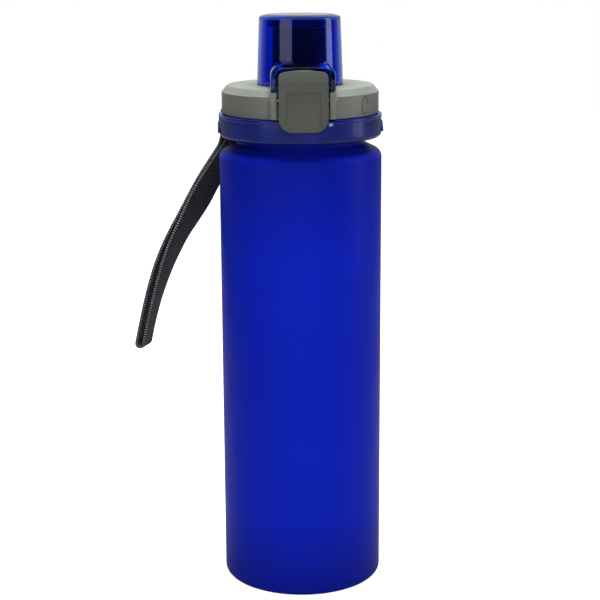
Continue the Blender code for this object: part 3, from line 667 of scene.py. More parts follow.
# Sizes of the mouldings, as on the frame's own solids
SHOULDER_TURN = radians(64)
SHOULDER_Z = RING_Z - 0.0089
CORE_OUTER = CORE_INNER + 0.0016
RING_INNER = CORE_OUTER + 0.0006
NECK_INNER = NECK_RADIUS - 0.0021
LIP_OUTER = NECK_INNER - 0.0010
LIP_INNER = LIP_OUTER - 0.0012
SPOUT_RADIUS = 0.01165
SPOUT_BORE = SPOUT_RADIUS - 0.0020
VENT_Y = 0.0146
CHAMFER = 0.0025
LATCH_HALF = LATCH_HIGH.x
EAR_INNER = LATCH_HALF + 0.00075
EAR_OUTER = EAR_INNER + 0.00265
HOOD_INNER = LATCH_HALF + 0.0009
HOOD_OUTER = HOOD_INNER + 0.0022
HOOD_TOP = TOP_Z + 0.0111
CATCH_FRONT = HOOD_FRONT + 0.0010
CATCH_LOW, CATCH_HIGH = TOP_Z + 0.0010, TOP_Z + 0.0034
CEILING_Z = CAP_TOP - 0.0016
PIN_HOLE = 0.0003
LATCH_ROD, HINGE_ROD = 0.0009, 0.0010
LUG_ANGLE = radians(140)
LUG_REACH, BAR = 0.0038, 0.0018
LUG_LOW, LUG_HIGH = RING_Z + 0.0010, RING_Z + 0.0084
THREAD_LEAD, THREAD_DEPTH = 0.0120, 0.0012


def arc(a, b, radius, start, end, steps=12):
    """Points of an arc round (a, b), with its angles in degrees."""
    turns = [radians(start + (end - start) * i / steps) for i in range(steps + 1)]
    return [(a + radius * cos(t), b + radius * sin(t)) for t in turns]


def smooth_outline(corners, segments=5):
    return rounded(corners, closed=True, segments=segments)


def slab_object(name, outline, axis, low, high, bevel=0.0, segments=3):
    bm = bmesh.new()
    slab(bm, outline, axis, low, high, bevel, segments)
    return make(name, bm)


def rod_cutter(name, centre, radius, length, sides=40):
    """A plain cylinder along X."""
    bm = bmesh.new()
    bmesh.ops.create_cone(
        bm, cap_ends=True, segments=sides, radius1=radius, radius2=radius, depth=length
    )
    bmesh.ops.rotate(bm, cent=(0, 0, 0), matrix=Matrix.Rotation(pi / 2, 3, "Y"), verts=bm.verts)
    bmesh.ops.translate(bm, vec=centre, verts=bm.verts)
    return make(name, bm)


def ridges(name, wall, inward, sweep, height):
    """The three ridges of the thread, whose ends run out into the wall."""
    bm = bmesh.new()
    sign = -1 if inward else 1
    foot, crest, steps = wall - sign * 0.0003, wall + sign * THREAD_DEPTH, int(sweep / 4)
    for start in range(3):
        outline = smooth_outline(
            [
                (foot, height - 0.0009, 0),
                (crest, height - 0.0005, 0.0003),
                (crest, height + 0.0005, 0.0003),
                (foot, height + 0.0009, 0),
            ],
            3,
        )
        face = bm.faces.new([bm.verts.new((r, 0, z)) for r, z in outline])
        first = tau * start / 3
        turn = Matrix.Rotation(first, 3, "Z")
        bmesh.ops.rotate(bm, cent=(0, 0, 0), matrix=turn, verts=face.verts)
        rise = Vector((0, 0, THREAD_LEAD * sweep / 360 / steps))
        seed = face.verts[0]
        bmesh.ops.spin(
            bm,
            geom=[face, *face.edges, *face.verts],
            cent=(0, 0, 0),
            axis=(0, 0, 1),
            dvec=rise,
            angle=radians(sweep),
            steps=steps,
            use_merge=False,
        )
        for vert in connected([seed]):
            along = (atan2(vert.co.y, vert.co.x) - first + 1e-5) % tau
            run = max(0.0, min(along, radians(sweep) - along)) / radians(16)
            share = 0.1 + 0.9 * min(1.0, run)
            flat = Vector((vert.co.x, vert.co.y, 0))
            reach = foot + (flat.length - foot) * share
            vert.co += flat.normalized() * (reach - flat.length)
    bmesh.ops.recalc_face_normals(bm, faces=bm.faces)
    return make(name, bm)


class BOTTLE_OT_body(bpy.types.Operator):
    """Make the blow-moulded bottle with its threaded neck"""

    bl_idname = "bottle.body"
    bl_label = "Bottle Body"

    def execute(self, context):
        sizes = context.scene.bottle_sizes
        inside = BODY_RADIUS - sizes.body_wall
        rounding = sizes.shoulder_round
        corner = SHOULDER_Z + rounding * tan(SHOULDER_TURN / 2)
        inner_corner = SHOULDER_Z + (rounding - sizes.body_wall) * tan(SHOULDER_TURN / 2)
        neck_z = corner + (BODY_RADIUS - NECK_RADIUS) / tan(SHOULDER_TURN)
        inner_neck_z = inner_corner + (inside - NECK_INNER) / tan(SHOULDER_TURN)
        bm = bmesh.new()
        spun(
            bm,
            [
                (0, 0.0044, 0),
                (inside, 0.0044, 0.0040),
                (inside, inner_corner, 0.0020),
                (NECK_INNER, inner_neck_z, 0.0008),
                (NECK_INNER, RIM_Z, 0.0006),
                (NECK_RADIUS, RIM_Z, 0.0006),
                (NECK_RADIUS, neck_z, 0.0013),
                (BODY_RADIUS, corner, rounding),
                (BODY_RADIUS, 0, 0.0032),
                (0.0286, 0, 0.0005),
                (0.0272, 0.0014, 0.0005),
                (0, 0.0014, 0),
            ],
            segments=8,
        )
        body = make("bottle_shell", bm, sharp=50.0)
        shape(body, [ridges("neck_thread", NECK_RADIUS, False, 200, RING_Z + 0.0024)], "UNION")
        dress(body, "bottle", "satin_blue_coat", "satin_blue_body", "bottle_body")
        return {"FINISHED"}


class BOTTLE_OT_core(bpy.types.Operator):
    """Make the threaded inner cap with its drinking spout"""

    bl_idname = "bottle.core"
    bl_label = "Inner Cap and Spout"

    def execute(self, context):
        low = RING_Z + 0.0004
        ledge = low + 0.0014
        flange = RING_INNER + 0.0018
        top = PLATE_Z + 0.0023
        lip = PLATE_Z - 0.0052
        bm = bmesh.new()
        spun(
            bm,
            [
                (CORE_INNER, low, 0.0003),
                (CORE_INNER, PLATE_Z, 0.0004),
                (LIP_OUTER, PLATE_Z, 0.0003),
                (LIP_OUTER, lip, 0.0004),
                (LIP_INNER, lip, 0.0004),
                (LIP_INNER, PLATE_Z, 0.0003),
                (SPOUT_BORE, PLATE_Z, 0.0006),
                (SPOUT_BORE, SPOUT_Z, 0.0009),
                (SPOUT_RADIUS, SPOUT_Z, 0.0009),
                (SPOUT_RADIUS, top, 0.0002),
                (CORE_OUTER, top, 0.0004),
                (CORE_OUTER, ledge, 0.0002),
                (flange, ledge, 0.0003),
                (flange, low, 0.0003),
            ],
            closed=True,
        )
        core = make("threaded_core", bm)
        drill = bmesh.new()
        spun(
            drill,
            [(0, TOP_Z, 0), (0.0012, TOP_Z, 0), (0.0012, PLATE_Z - 0.001, 0), (0, PLATE_Z - 0.001, 0)],
            steps=32,
            centre=(0, VENT_Y, 0),
        )
        shape(core, [ridges("cap_thread", CORE_INNER, True, 150, RING_Z + 0.0044)], "UNION")
        shape(core, [make("vent_drill", drill)], "DIFFERENCE")
        dress(core, "lid", "grained_lid_plastic", "grey_lid_plastic", "inner_cap")
        return {"FINISHED"}


class BOTTLE_OT_seals(bpy.types.Operator):
    """Make the mouth gasket, the vent valve and the plug that seals the spout"""

    bl_idname = "bottle.seals"
    bl_label = "Silicone Seals"

    def execute(self, context):
        gasket_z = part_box("mouth_gasket")[0].z
        top = PLATE_Z - FIT
        bm = bmesh.new()
        inner, outer = LIP_OUTER + FIT, CORE_INNER - FIT
        spun(
            bm,
            [
                (inner, gasket_z, 0.0004),
                (inner, top, 0.0003),
                (outer, top, 0.0003),
                (outer, gasket_z, 0.0004),
            ],
            closed=True,
        )
        dress(make("gasket_ring", bm), "lid_carrier", "silicone_rubber", "silicone", "mouth_gasket")
        bm = bmesh.new()
        head = PLATE_Z + 0.0023 - FIT
        spun(
            bm,
            [
                (0, head, 0),
                (0.0009, head, 0.0002),
                (0.0009, top, 0.0001),
                (0.0026, top, 0.0001),
                (0.0026, top - 0.0005, 0.0002),
                (0, top - 0.0009, 0),
            ],
            steps=40,
            centre=(0, VENT_Y, 0),
        )
        dress(make("umbrella_valve", bm), "lid", "silicone_rubber", "silicone", "vent_valve")
        bm = bmesh.new()
        disc, roof = SPOUT_RADIUS + 0.0006, CEILING_Z - FIT
        spun(
            bm,
            [
                (0, roof, 0),
                (disc, roof, 0.0003),
                (disc, SPOUT_Z + FIT, 0.0004),
                (SPOUT_BORE - 0.0007, SPOUT_Z + FIT, 0.0002),
                (SPOUT_BORE - 0.0024, SPOUT_Z - 0.0015, 0.0005),
                (0, SPOUT_Z - 0.0018, 0),
            ],
            steps=96,
        )
        dress(make("spout_plug", bm), "cap", "silicone_rubber", "silicone", "spout_seal")
        return {"FINISHED"}


class BOTTLE_OT_ring(bpy.types.Operator):
    """Make the lock ring with its grips, strap lug and index dot"""

    bl_idname = "bottle.ring"
    bl_label = "Lock Ring"

    def execute(self, context):
        seat = RING_INNER + 0.0021
        side = RING_RADIUS - 0.0002
        bm = bmesh.new()
        spun(
            bm,
            [
                (seat, RING_Z, 0.0003),
                (seat, RING_Z + 0.0021, 0.0002),
                (RING_INNER, RING_Z + 0.0021, 0.0003),
                (RING_INNER, RING_TOP, 0.0003),
                (RING_RADIUS, RING_TOP, 0.0004),
                (RING_RADIUS, RING_TOP - 0.0011, 0.0002),
                (side, RING_TOP - 0.0014, 0.0002),
                (side, RING_Z, 0.0017),
            ],
            closed=True,
        )
        ring = make("turning_ring", bm)
        others = []
        for hand in (-1, 1):
            outline = smooth_outline(
                [
                    (-0.0070, RING_Z + 0.0019, 0.0008),
                    (0.0070, RING_Z + 0.0019, 0.0008),
                    (0, RING_Z + 0.0067, 0.0012),
                ]
            )
            reach = sorted((hand * (RING_RADIUS - 0.001), hand * (RING_RADIUS + 0.0004)))
            others.append(slab_object(f"grip_{hand + 1}", outline, "X", *reach, bevel=0.0003))
        half, reach = 0.0090, RING_RADIUS + LUG_REACH
        outline = smooth_outline(
            [
                (-half, LUG_LOW, 0.0012),
                (half, LUG_LOW, 0.0012),
                (half, LUG_HIGH, 0.0012),
                (-half, LUG_HIGH, 0.0012),
            ]
        )
        bm = bmesh.new()
        slab(bm, outline, "X", RING_RADIUS - 0.0020, reach, bevel=0.0005)
        turn = Matrix.Rotation(LUG_ANGLE, 3, "Z")
        bmesh.ops.rotate(bm, cent=(0, 0, 0), matrix=turn, verts=bm.verts)
        others.append(make("lug", bm))
        shape(ring, others, "UNION")
        slot = [(-0.0071, LUG_LOW - 0.001), (0.0071, LUG_LOW - 0.001)]
        slot += [(0.0071, LUG_HIGH + 0.001), (-0.0071, LUG_HIGH + 0.001)]
        bm = bmesh.new()
        slab(bm, slot, "X", RING_RADIUS + 0.0001, reach - BAR)
        bmesh.ops.rotate(bm, cent=(0, 0, 0), matrix=turn, verts=bm.verts)
        shape(ring, [make("lug_slot", bm)], "DIFFERENCE")
        dress(ring, "ring", "tinted_ring_plastic", "blue_ring_plastic", "lock_ring")
        bm = bmesh.new()
        outline = smooth_outline(
            [
                (-0.0009, RING_TOP - 0.0022, 0.0004),
                (0.0009, RING_TOP - 0.0022, 0.0004),
                (0.0009, RING_TOP - 0.0009, 0.0004),
                (-0.0009, RING_TOP - 0.0009, 0.0004),
            ]
        )
        slab(bm, outline, "X", RING_RADIUS - 0.0010, RING_RADIUS + 0.0006, bevel=0.0002)
        turn = Matrix.Rotation(radians(18.75) + FRONT, 3, "Z")
        bmesh.ops.rotate(bm, cent=(0, 0, 0), matrix=turn, verts=bm.verts)
        dress(make("index_dot", bm), "ring", "mark_pale", "blue_ring_plastic")
        return {"FINISHED"}


class BOTTLE_OT_cover(bpy.types.Operator):
    """Make the grey lid cover with its latch ears and hinge lugs"""

    bl_idname = "bottle.cover"
    bl_label = "Lid Cover"

    def execute(self, context):
        inside = COVER_RADIUS - 0.0018
        roof = TOP_Z - 0.0020
        hole = SPOUT_RADIUS + 0.00035
        flat = COVER_RADIUS - CHAMFER
        step = TOP_Z - CHAMFER
        bm = bmesh.new()
        spun(
            bm,
            [
                (inside, COVER_Z, 0.0003),
                (inside, roof, 0.0010),
                (hole, roof, 0.0003),
                (hole, TOP_Z, 0.0003),
                (flat, TOP_Z, 0.0008),
                (COVER_RADIUS - 0.0003, step, 0.0002),
                (COVER_RADIUS, step - 0.0002, 0.0002),
                (COVER_RADIUS, COVER_Z, 0.0003),
            ],
            closed=True,
        )
        cover = make("lid_shell", bm)
        ears, lugs = [], []
        back = 0.0034 - COVER_RADIUS
        for hand in (-1, 1):
            reach = sorted((hand * EAR_INNER, hand * EAR_OUTER))
            outline = smooth_outline(
                [
                    (HOOD_FRONT, COVER_Z + 0.0004, 0.0008),
                    (back, COVER_Z + 0.0004, 0),
                    (back, TOP_Z - FIT, 0),
                    (HOOD_FRONT, TOP_Z - FIT, 0.0006),
                ]
            )
            ears.append(slab_object(f"ear_{hand + 1}", outline, "X", *reach, bevel=0.0003))
            inner = 0.0031 + 0.0048 + FIT
            reach = sorted((hand * inner, hand * (inner + 0.0038)))
            foot = TOP_Z - 0.0065
            outline = [
                (HINGE.y - 0.0034, TOP_Z - 0.0010),
                *arc(HINGE.y, HINGE.z, 0.0034, 180, 0, 20),
                (HINGE.y + 0.0034, TOP_Z - 0.0030),
                (COVER_RADIUS - 0.0008, foot),
                (COVER_RADIUS - 0.0040, foot),
            ]
            lugs.append(slab_object(f"lug_{hand + 1}", outline, "X", *reach, bevel=0.0004))
        bm = bmesh.new()
        spun(
            bm,
            [
                (0.01, COVER_Z - 0.001, 0),
                (0.01, roof + 0.0001, 0),
                (inside + 0.0001, roof + 0.0001, 0),
                (inside + 0.0001, COVER_Z - 0.001, 0),
            ],
            closed=True,
        )
        hollow = make("hollow", bm)
        for lug in lugs[:-1]:
            copy = hollow.copy()
            copy.data = hollow.data.copy()
            context.scene.collection.objects.link(copy)
            shape(lug, [copy], "DIFFERENCE")
        shape(lugs[-1], [hollow], "DIFFERENCE")
        shape(cover, ears + lugs, "UNION")
        floor_z = LATCH_PIN.z - 0.0022 - 0.0007
        rear = LATCH_PIN.y + 0.0022 + 0.0004
        pocket = slab_object(
            "pocket",
            smooth_outline(
                [
                    (HOOD_FRONT - 0.001, floor_z, 0),
                    (rear, floor_z, 0.0006),
                    (rear, TOP_Z + 0.001, 0),
                    (HOOD_FRONT - 0.001, TOP_Z + 0.001, 0),
                ]
            ),
            "X",
            -EAR_INNER,
            EAR_INNER,
        )
        bm = bmesh.new()
        high, low = TOP_Z + 0.001, roof - 0.001
        spun(
            bm,
            [(0, high, 0), (0.0008, high, 0), (0.0008, low, 0), (0, low, 0)],
            steps=32,
            centre=(0, VENT_Y, 0),
        )
        holes = [
            pocket,
            make("breather", bm),
            rod_cutter("latch_drill", LATCH_PIN, LATCH_ROD + PIN_HOLE, 2 * EAR_OUTER + 0.002),
            rod_cutter("hinge_drill", HINGE, HINGE_ROD + PIN_HOLE, 0.028),
        ]
        shape(cover, holes, "DIFFERENCE")
        dress(cover, "lid", "grained_lid_plastic", "grey_lid_plastic", "lid_cover")
        return {"FINISHED"}


class BOTTLE_OT_marks(bpy.types.Operator):
    """Make the open-padlock sign on the lid's side"""

    bl_idname = "bottle.marks"
    bl_label = "Padlock Sign"

    def execute(self, context):
        start, base = radians(48.4) + FRONT, COVER_Z + 0.0016
        body = [(0.0036, 0.0002, 0), (0, 0, 0.0003), (0, 0.0049, 0.0006), (0.0018, 0.0072, 0.0006)]
        shackle = [(0.0034, 0.0052, 0.0005), (0.0034, 0.0042, 0.0003), (0.0026, 0.0036, 0)]
        lines = [rounded(body + shackle)]
        paths = []
        for line in lines:
            path = []
            for across, up in line:
                turn = start + across / COVER_RADIUS
                path.append((COVER_RADIUS * cos(turn), COVER_RADIUS * sin(turn), base + up))
            paths.append(path)
        sign = wire("padlock_sign", paths, 0.00017, sides=2)
        dress(sign, "lid", "mark_grey", "grey_lid_plastic")
        return {"FINISHED"}


class BOTTLE_OT_cap(bpy.types.Operator):
    """Make the clear flip cap with its hood and hinge knuckles"""

    bl_idname = "bottle.cap"
    bl_label = "Clear Flip Cap"

    def execute(self, context):
        wall = context.scene.bottle_sizes.cap_wall
        upper = CAP_RADIUS - 0.0011
        socket = SPOUT_RADIUS + 0.0009
        rim = SPOUT_Z + 0.0008
        bm = bmesh.new()
        spun(
            bm,
            [
                (0, CAP_TOP, 0),
                (upper - 0.0030, CAP_TOP - 0.0001, 0.0020),
                (upper, CAP_TOP - 0.0009, 0.0012),
                (CAP_RADIUS, CAP_Z, 0.0003),
                (CAP_RADIUS - wall, CAP_Z, 0.0003),
                (upper - wall, CEILING_Z, 0.0010),
                (socket + 0.0012, CEILING_Z, 0.0003),
                (socket + 0.0012, rim, 0.0003),
                (socket, rim, 0.0003),
                (socket, CEILING_Z, 0.0002),
                (0, CEILING_Z, 0),
            ],
            steps=128,
            segments=6,
        )
        cap = make("clear_cap", bm)
        deep = -(CAP_RADIUS - wall) * 0.6
        corner = 0.0050
        outline = smooth_outline(
            [
                (-HOOD_OUTER, CAP_Z, 0),
                (HOOD_OUTER, CAP_Z, 0),
                (HOOD_OUTER, HOOD_TOP, corner),
                (-HOOD_OUTER, HOOD_TOP, corner),
            ],
            10,
        )
        hood = slab_object("hood", outline, "Y", HOOD_FRONT, deep, bevel=0.0004)
        inner = corner - 0.0022
        outline = smooth_outline(
            [
                (-HOOD_INNER, CAP_Z - 0.001, 0),
                (HOOD_INNER, CAP_Z - 0.001, 0),
                (HOOD_INNER, HOOD_TOP - 0.0019, inner),
                (-HOOD_INNER, HOOD_TOP - 0.0019, inner),
            ],
            10,
        )
        tunnel = slab_object("tunnel", outline, "Y", HOOD_FRONT - 0.001, deep + 0.001)
        bm = bmesh.new()
        spun(
            bm,
            [
                (0, HOOD_TOP + 0.001, 0),
                (CAP_RADIUS - 0.0010, HOOD_TOP + 0.001, 0),
                (CAP_RADIUS - 0.0006, CAP_Z - 0.001, 0),
                (0, CAP_Z - 0.001, 0),
            ],
            steps=128,
        )
        core = make("core", bm)
        copy = core.copy()
        copy.data = core.data.copy()
        context.scene.collection.objects.link(copy)
        shape(hood, [tunnel], "DIFFERENCE")
        shape(hood, [copy], "DIFFERENCE")
        soften(hood, 0.0002)
        bar = [(CATCH_FRONT, CATCH_LOW, 0.0003), (CATCH_FRONT + 0.0020, CATCH_LOW, 0.0003)]
        bar += [(CATCH_FRONT + 0.0020, CATCH_HIGH, 0.0005), (CATCH_FRONT, CATCH_HIGH, 0.0005)]
        reach = HOOD_INNER + 0.001
        catch = slab_object("catch", smooth_outline(bar), "X", -reach, reach)
        knuckles = []
        for hand in (-1, 1):
            reach = sorted((hand * 0.0031, hand * 0.0079))
            root = CAP_RADIUS - 0.0026
            outline = [
                (root, HINGE.z - 0.0022),
                (HINGE.y - 0.0015, HINGE.z - 0.0022),
                *arc(HINGE.y, HINGE.z, 0.0029, -115, 90, 20),
                (root, HINGE.z + 0.0029),
            ]
            knuckle = slab_object(f"knuckle_{hand + 1}", outline, "X", *reach, bevel=0.0003)
            copy = core.copy()
            copy.data = core.data.copy()
            context.scene.collection.objects.link(copy)
            shape(knuckle, [copy], "DIFFERENCE")
            knuckles.append(knuckle)
        bpy.data.objects.remove(core)
        shape(cap, [hood, catch, *knuckles], "UNION")
        shape(cap, [rod_cutter("knuckle_drill", HINGE, HINGE_ROD + PIN_HOLE, 0.018)], "DIFFERENCE")
        dress(cap, "cap", "tinted_clear_plastic", "clear_blue_cap", "flip_cap")
        return {"FINISHED"}


class BOTTLE_OT_latch(bpy.types.Operator):
    """Make the rocking latch with its thumb recess"""

    bl_idname = "bottle.latch"
    bl_label = "Thumb Latch"

    def execute(self, context):
        front, low, high = LATCH_LOW.y, LATCH_LOW.z, LATCH_HIGH.z
        back = front + 0.0019
        pin = LATCH_PIN
        nose = CATCH_HIGH
        side = smooth_outline(
            [
                (front + 0.0005, low, 0.0006),
                (front, low + 0.0085, 0),
                (front, pin.z, 0),
                (front + 0.0003, TOP_Z + 0.0040, 0.0040),
                (front + 0.0010, high, 0.0007),
                (back + 0.0008, high, 0.0005),
                (back + 0.0010, nose + 0.0028, 0.0003),
                (CATCH_FRONT - FIT, nose + 0.0023, 0.0003),
                (CATCH_FRONT - FIT, nose + 0.0006, 0.0003),
                (back + 0.0002, nose, 0.0002),
                (back + 0.0002, TOP_Z + 0.0004, 0.0003),
                *[(y, z, 0) for y, z in arc(pin.y, pin.z, 0.0022, 90, -90, 16)],
                (back, pin.z - 0.0036, 0.0006),
                (back, low + 0.0006, 0),
                (back - 0.0004, low, 0.0004),
            ]
        )
        latch = slab_object("rocking_latch", side, "X", -LATCH_HALF, LATCH_HALF)
        crown = high - 0.0012
        outline = smooth_outline(
            [
                (0, low - 0.0001, 0.03),
                (LATCH_HALF - 0.0026, low + 0.0003, 0.0060),
                (LATCH_HALF, low + 0.0040, 0.0040),
                (LATCH_HALF, crown, 0.0022),
                (0, high + 0.0002, 0.03),
                (-LATCH_HALF, crown, 0.0022),
                (-LATCH_HALF, low + 0.0040, 0.0040),
                (0.0026 - LATCH_HALF, low + 0.0003, 0.0060),
            ],
            8,
        )
        plan = slab_object("plan", outline, "Y", front - 0.001, pin.y + 0.006)
        shape(latch, [plan], "INTERSECT")
        soften(latch, 0.00035, segments=3)
        outline = smooth_outline(
            [
                (-0.0070, low + 0.0023, 0.0011),
                (0.0070, low + 0.0023, 0.0011),
                (0.0070, TOP_Z - 0.0001, 0.0004),
                (-0.0070, TOP_Z - 0.0001, 0.0004),
            ]
        )
        panel = slab_object("panel", outline, "Y", front - 0.001, front + 0.0007, bevel=0.0002)
        bore = rod_cutter("bore", pin, LATCH_ROD + PIN_HOLE, 2 * LATCH_HALF + 0.002)
        shape(latch, [panel, bore], "DIFFERENCE")
        dress(latch, "thumb_latch", "grained_latch_plastic", "dark_grey_latch", "latch")
        return {"FINISHED"}


class BOTTLE_OT_hardware(bpy.types.Operator):
    """Make the steel pins and springs"""

    bl_idname = "bottle.hardware"
    bl_label = "Pins and Springs"

    def execute(self, context):
        for name, node, at, radius in (
            ("latch_axle", "latch_pin", LATCH_PIN, LATCH_ROD),
            ("hinge_axle", "hinge_pin", HINGE, HINGE_ROD),
        ):
            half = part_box(node)[1].x
            bm = bmesh.new()
            spun(
                bm,
                [(0, -half, 0), (radius, -half, 0.0003), (radius, half, 0.0003), (0, half, 0)],
                steps=48,
                centre=at,
                axis="X",
            )
            dress(make(name, bm), "lid", "drawn_steel", "steel", node)
        thick, radius = 0.0004, 0.0020
        half = 0.0031 - FIT - thick
        count = 4 * 36 + 18
        coil = []
        for i in range(count + 1):
            turn = -pi / 2 - tau * i / 36
            x = -half + 2 * half * i / count
            coil.append((x, HINGE.y + radius * cos(turn), HINGE.z + radius * sin(turn)))
        lower = (-half, HINGE.y - 0.0090, HINGE.z - radius)
        upper = (half, CAP_RADIUS + 0.0020, HINGE.z + radius)
        torsion = wire("torsion_spring", [[lower, *coil, upper]], thick)
        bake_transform(torsion)
        dress(torsion, None, "drawn_steel", "steel", "cap_spring")
        first = -COVER_RADIUS - FIT - 0.0002
        last = LATCH_LOW.y + 0.0019 + FIT + 0.0002
        height = LATCH_PIN.z - 0.0064
        coil = []
        for i in range(3 * 36 + 1):
            turn = tau * i / 36
            along = first + (last - first) * i / 108
            coil.append((radius * cos(turn), along, height + radius * sin(turn)))
        push = wire("push_spring", [coil], 0.0002)
        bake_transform(push)
        dress(push, None, "drawn_steel", "steel", "latch_spring")
        return {"FINISHED"}


# The strap's middle line as (left, back, down) from the lug's bar, and the way its width points
STRAP_ROUTE = [
    ((0.0000, 0.0000, -0.0079), 50),
    ((0.0000, 0.0000, -0.0050), 50),
    ((0.0001, 0.0001, -0.0020), 50),
    ((0.0003, 0.0002, 0.0009), 50),
    ((0.0005, 0.0001, 0.0032), 50),
    ((0.0021, -0.0003, 0.0072), 50),
    ((0.0048, -0.0010, 0.0118), 48),
    ((0.0081, -0.0020, 0.0171), 44),
    ((0.0119, -0.0032, 0.0234), 40),
    ((0.0161, -0.0045, 0.0308), 39),
    ((0.0205, -0.0057, 0.0380), 46),
    ((0.0247, -0.0068, 0.0448), 53),
    ((0.0285, -0.0076, 0.0520), 58),
    ((0.0320, -0.0083, 0.0599), 64),
    ((0.0351, -0.0089, 0.0685), 70),
    ((0.0378, -0.0094, 0.0775), 74),
    ((0.0401, -0.0097, 0.0867), 76),
    ((0.0418, -0.0099, 0.0945), 76),
]


# Half the distance between the strap's layers, and how far down the strap each one holds
OUTER_AT_BAR, INNER_AT_BAR, GAP_CLOSED, GAP_AT_FOLD = 0.00172, 0.00180, 0.00080, 0.00165
BAR_END, CLOSED_BY, PARTS_AT, OPEN_BY = 0.0078, 0.0200, 0.0350, 0.0900
ROW_STEP = 0.00025


def between(values, t):
    """A smooth reading between the values of a row, at t from 0 to its last place."""
    i = min(int(t), len(values) - 2)
    a, b, c, d = (values[max(0, min(len(values) - 1, i + k))] for k in (-1, 0, 1, 2))
    f = t - i
    curve = (c - a) * f + (a * 2 - b * 5 + c * 4 - d) * f * f
    return b + (curve + (b * 3 - a - c * 3 + d) * f * f * f) * 0.5


def strap_frames():
    """Rows of (place, across, outward, down) along the strap's middle line, about 0.25 mm apart."""
    out = Vector((cos(LUG_ANGLE), sin(LUG_ANGLE), 0))
    bar = out * (RING_RADIUS + LUG_REACH - BAR / 2) + Vector((0, 0, RING_Z))
    points = [bar + Vector((-left, back, -down)) for (left, back, down), _ in STRAP_ROUTE]
    angles = [angle for _, angle in STRAP_ROUTE]
    fine = [i / 40 for i in range((len(points) - 1) * 40 + 1)]
    path = [(between(points, t), between(angles, t)) for t in fine]
    frames, gone, due = [], 0.0, 0.0
    for i, (place, angle) in enumerate(path):
        if i:
            gone += (place - path[i - 1][0]).length
        if gone < due:
            continue
        due += ROW_STEP
        ahead, behind = path[min(i + 1, len(path) - 1)][0], path[max(i - 1, 0)][0]
        down = (ahead - behind).normalized()
        flat = Vector((cos(radians(angle)), sin(radians(angle)), 0))
        across = (flat - down * flat.dot(down)).normalized()
        frames.append((place, across, across.cross(down), down, gone))
    return frames


def eased(value, low, high):
    """0 below low, 1 above high and a smooth rise between them."""
    f = max(0.0, min(1.0, (value - low) / (high - low)))
    return f * f * (3 - 2 * f)


def layer_gap(down_by, outer):
    """How far a layer's middle lies from the strap's middle line."""
    at_bar = OUTER_AT_BAR if outer else INNER_AT_BAR
    if down_by < CLOSED_BY:
        return at_bar + (GAP_CLOSED - at_bar) * eased(down_by, BAR_END, CLOSED_BY)
    return GAP_CLOSED + (GAP_AT_FOLD - GAP_CLOSED) * eased(down_by, PARTS_AT, OPEN_BY)


def strap_loop_rows():
    """Rows of (place, across, outward) once round the strap's loop."""
    frames = strap_frames()
    rows = []
    for place, across, outward, _, gone in frames:
        rows.append((place + outward * layer_gap(gone, True), across, outward))
    place, across, outward, down, gone = frames[-1]
    reach = layer_gap(gone, True)
    for i in range(1, 18):
        turn = pi * i / 18
        way = outward * cos(turn) + down * sin(turn)
        rows.append((place + way * reach, across, way))
    for place, across, outward, _, gone in frames[::-1]:
        rows.append((place - outward * layer_gap(gone, False), across, -outward))
    place, across, outward, down, gone = frames[0]
    for i in range(1, 18):
        turn = pi * i / 18
        way = -outward * cos(turn) - down * sin(turn)
        reach = layer_gap(gone, turn > pi / 2)
        rows.append((place + way * reach, across, way))
    return rows


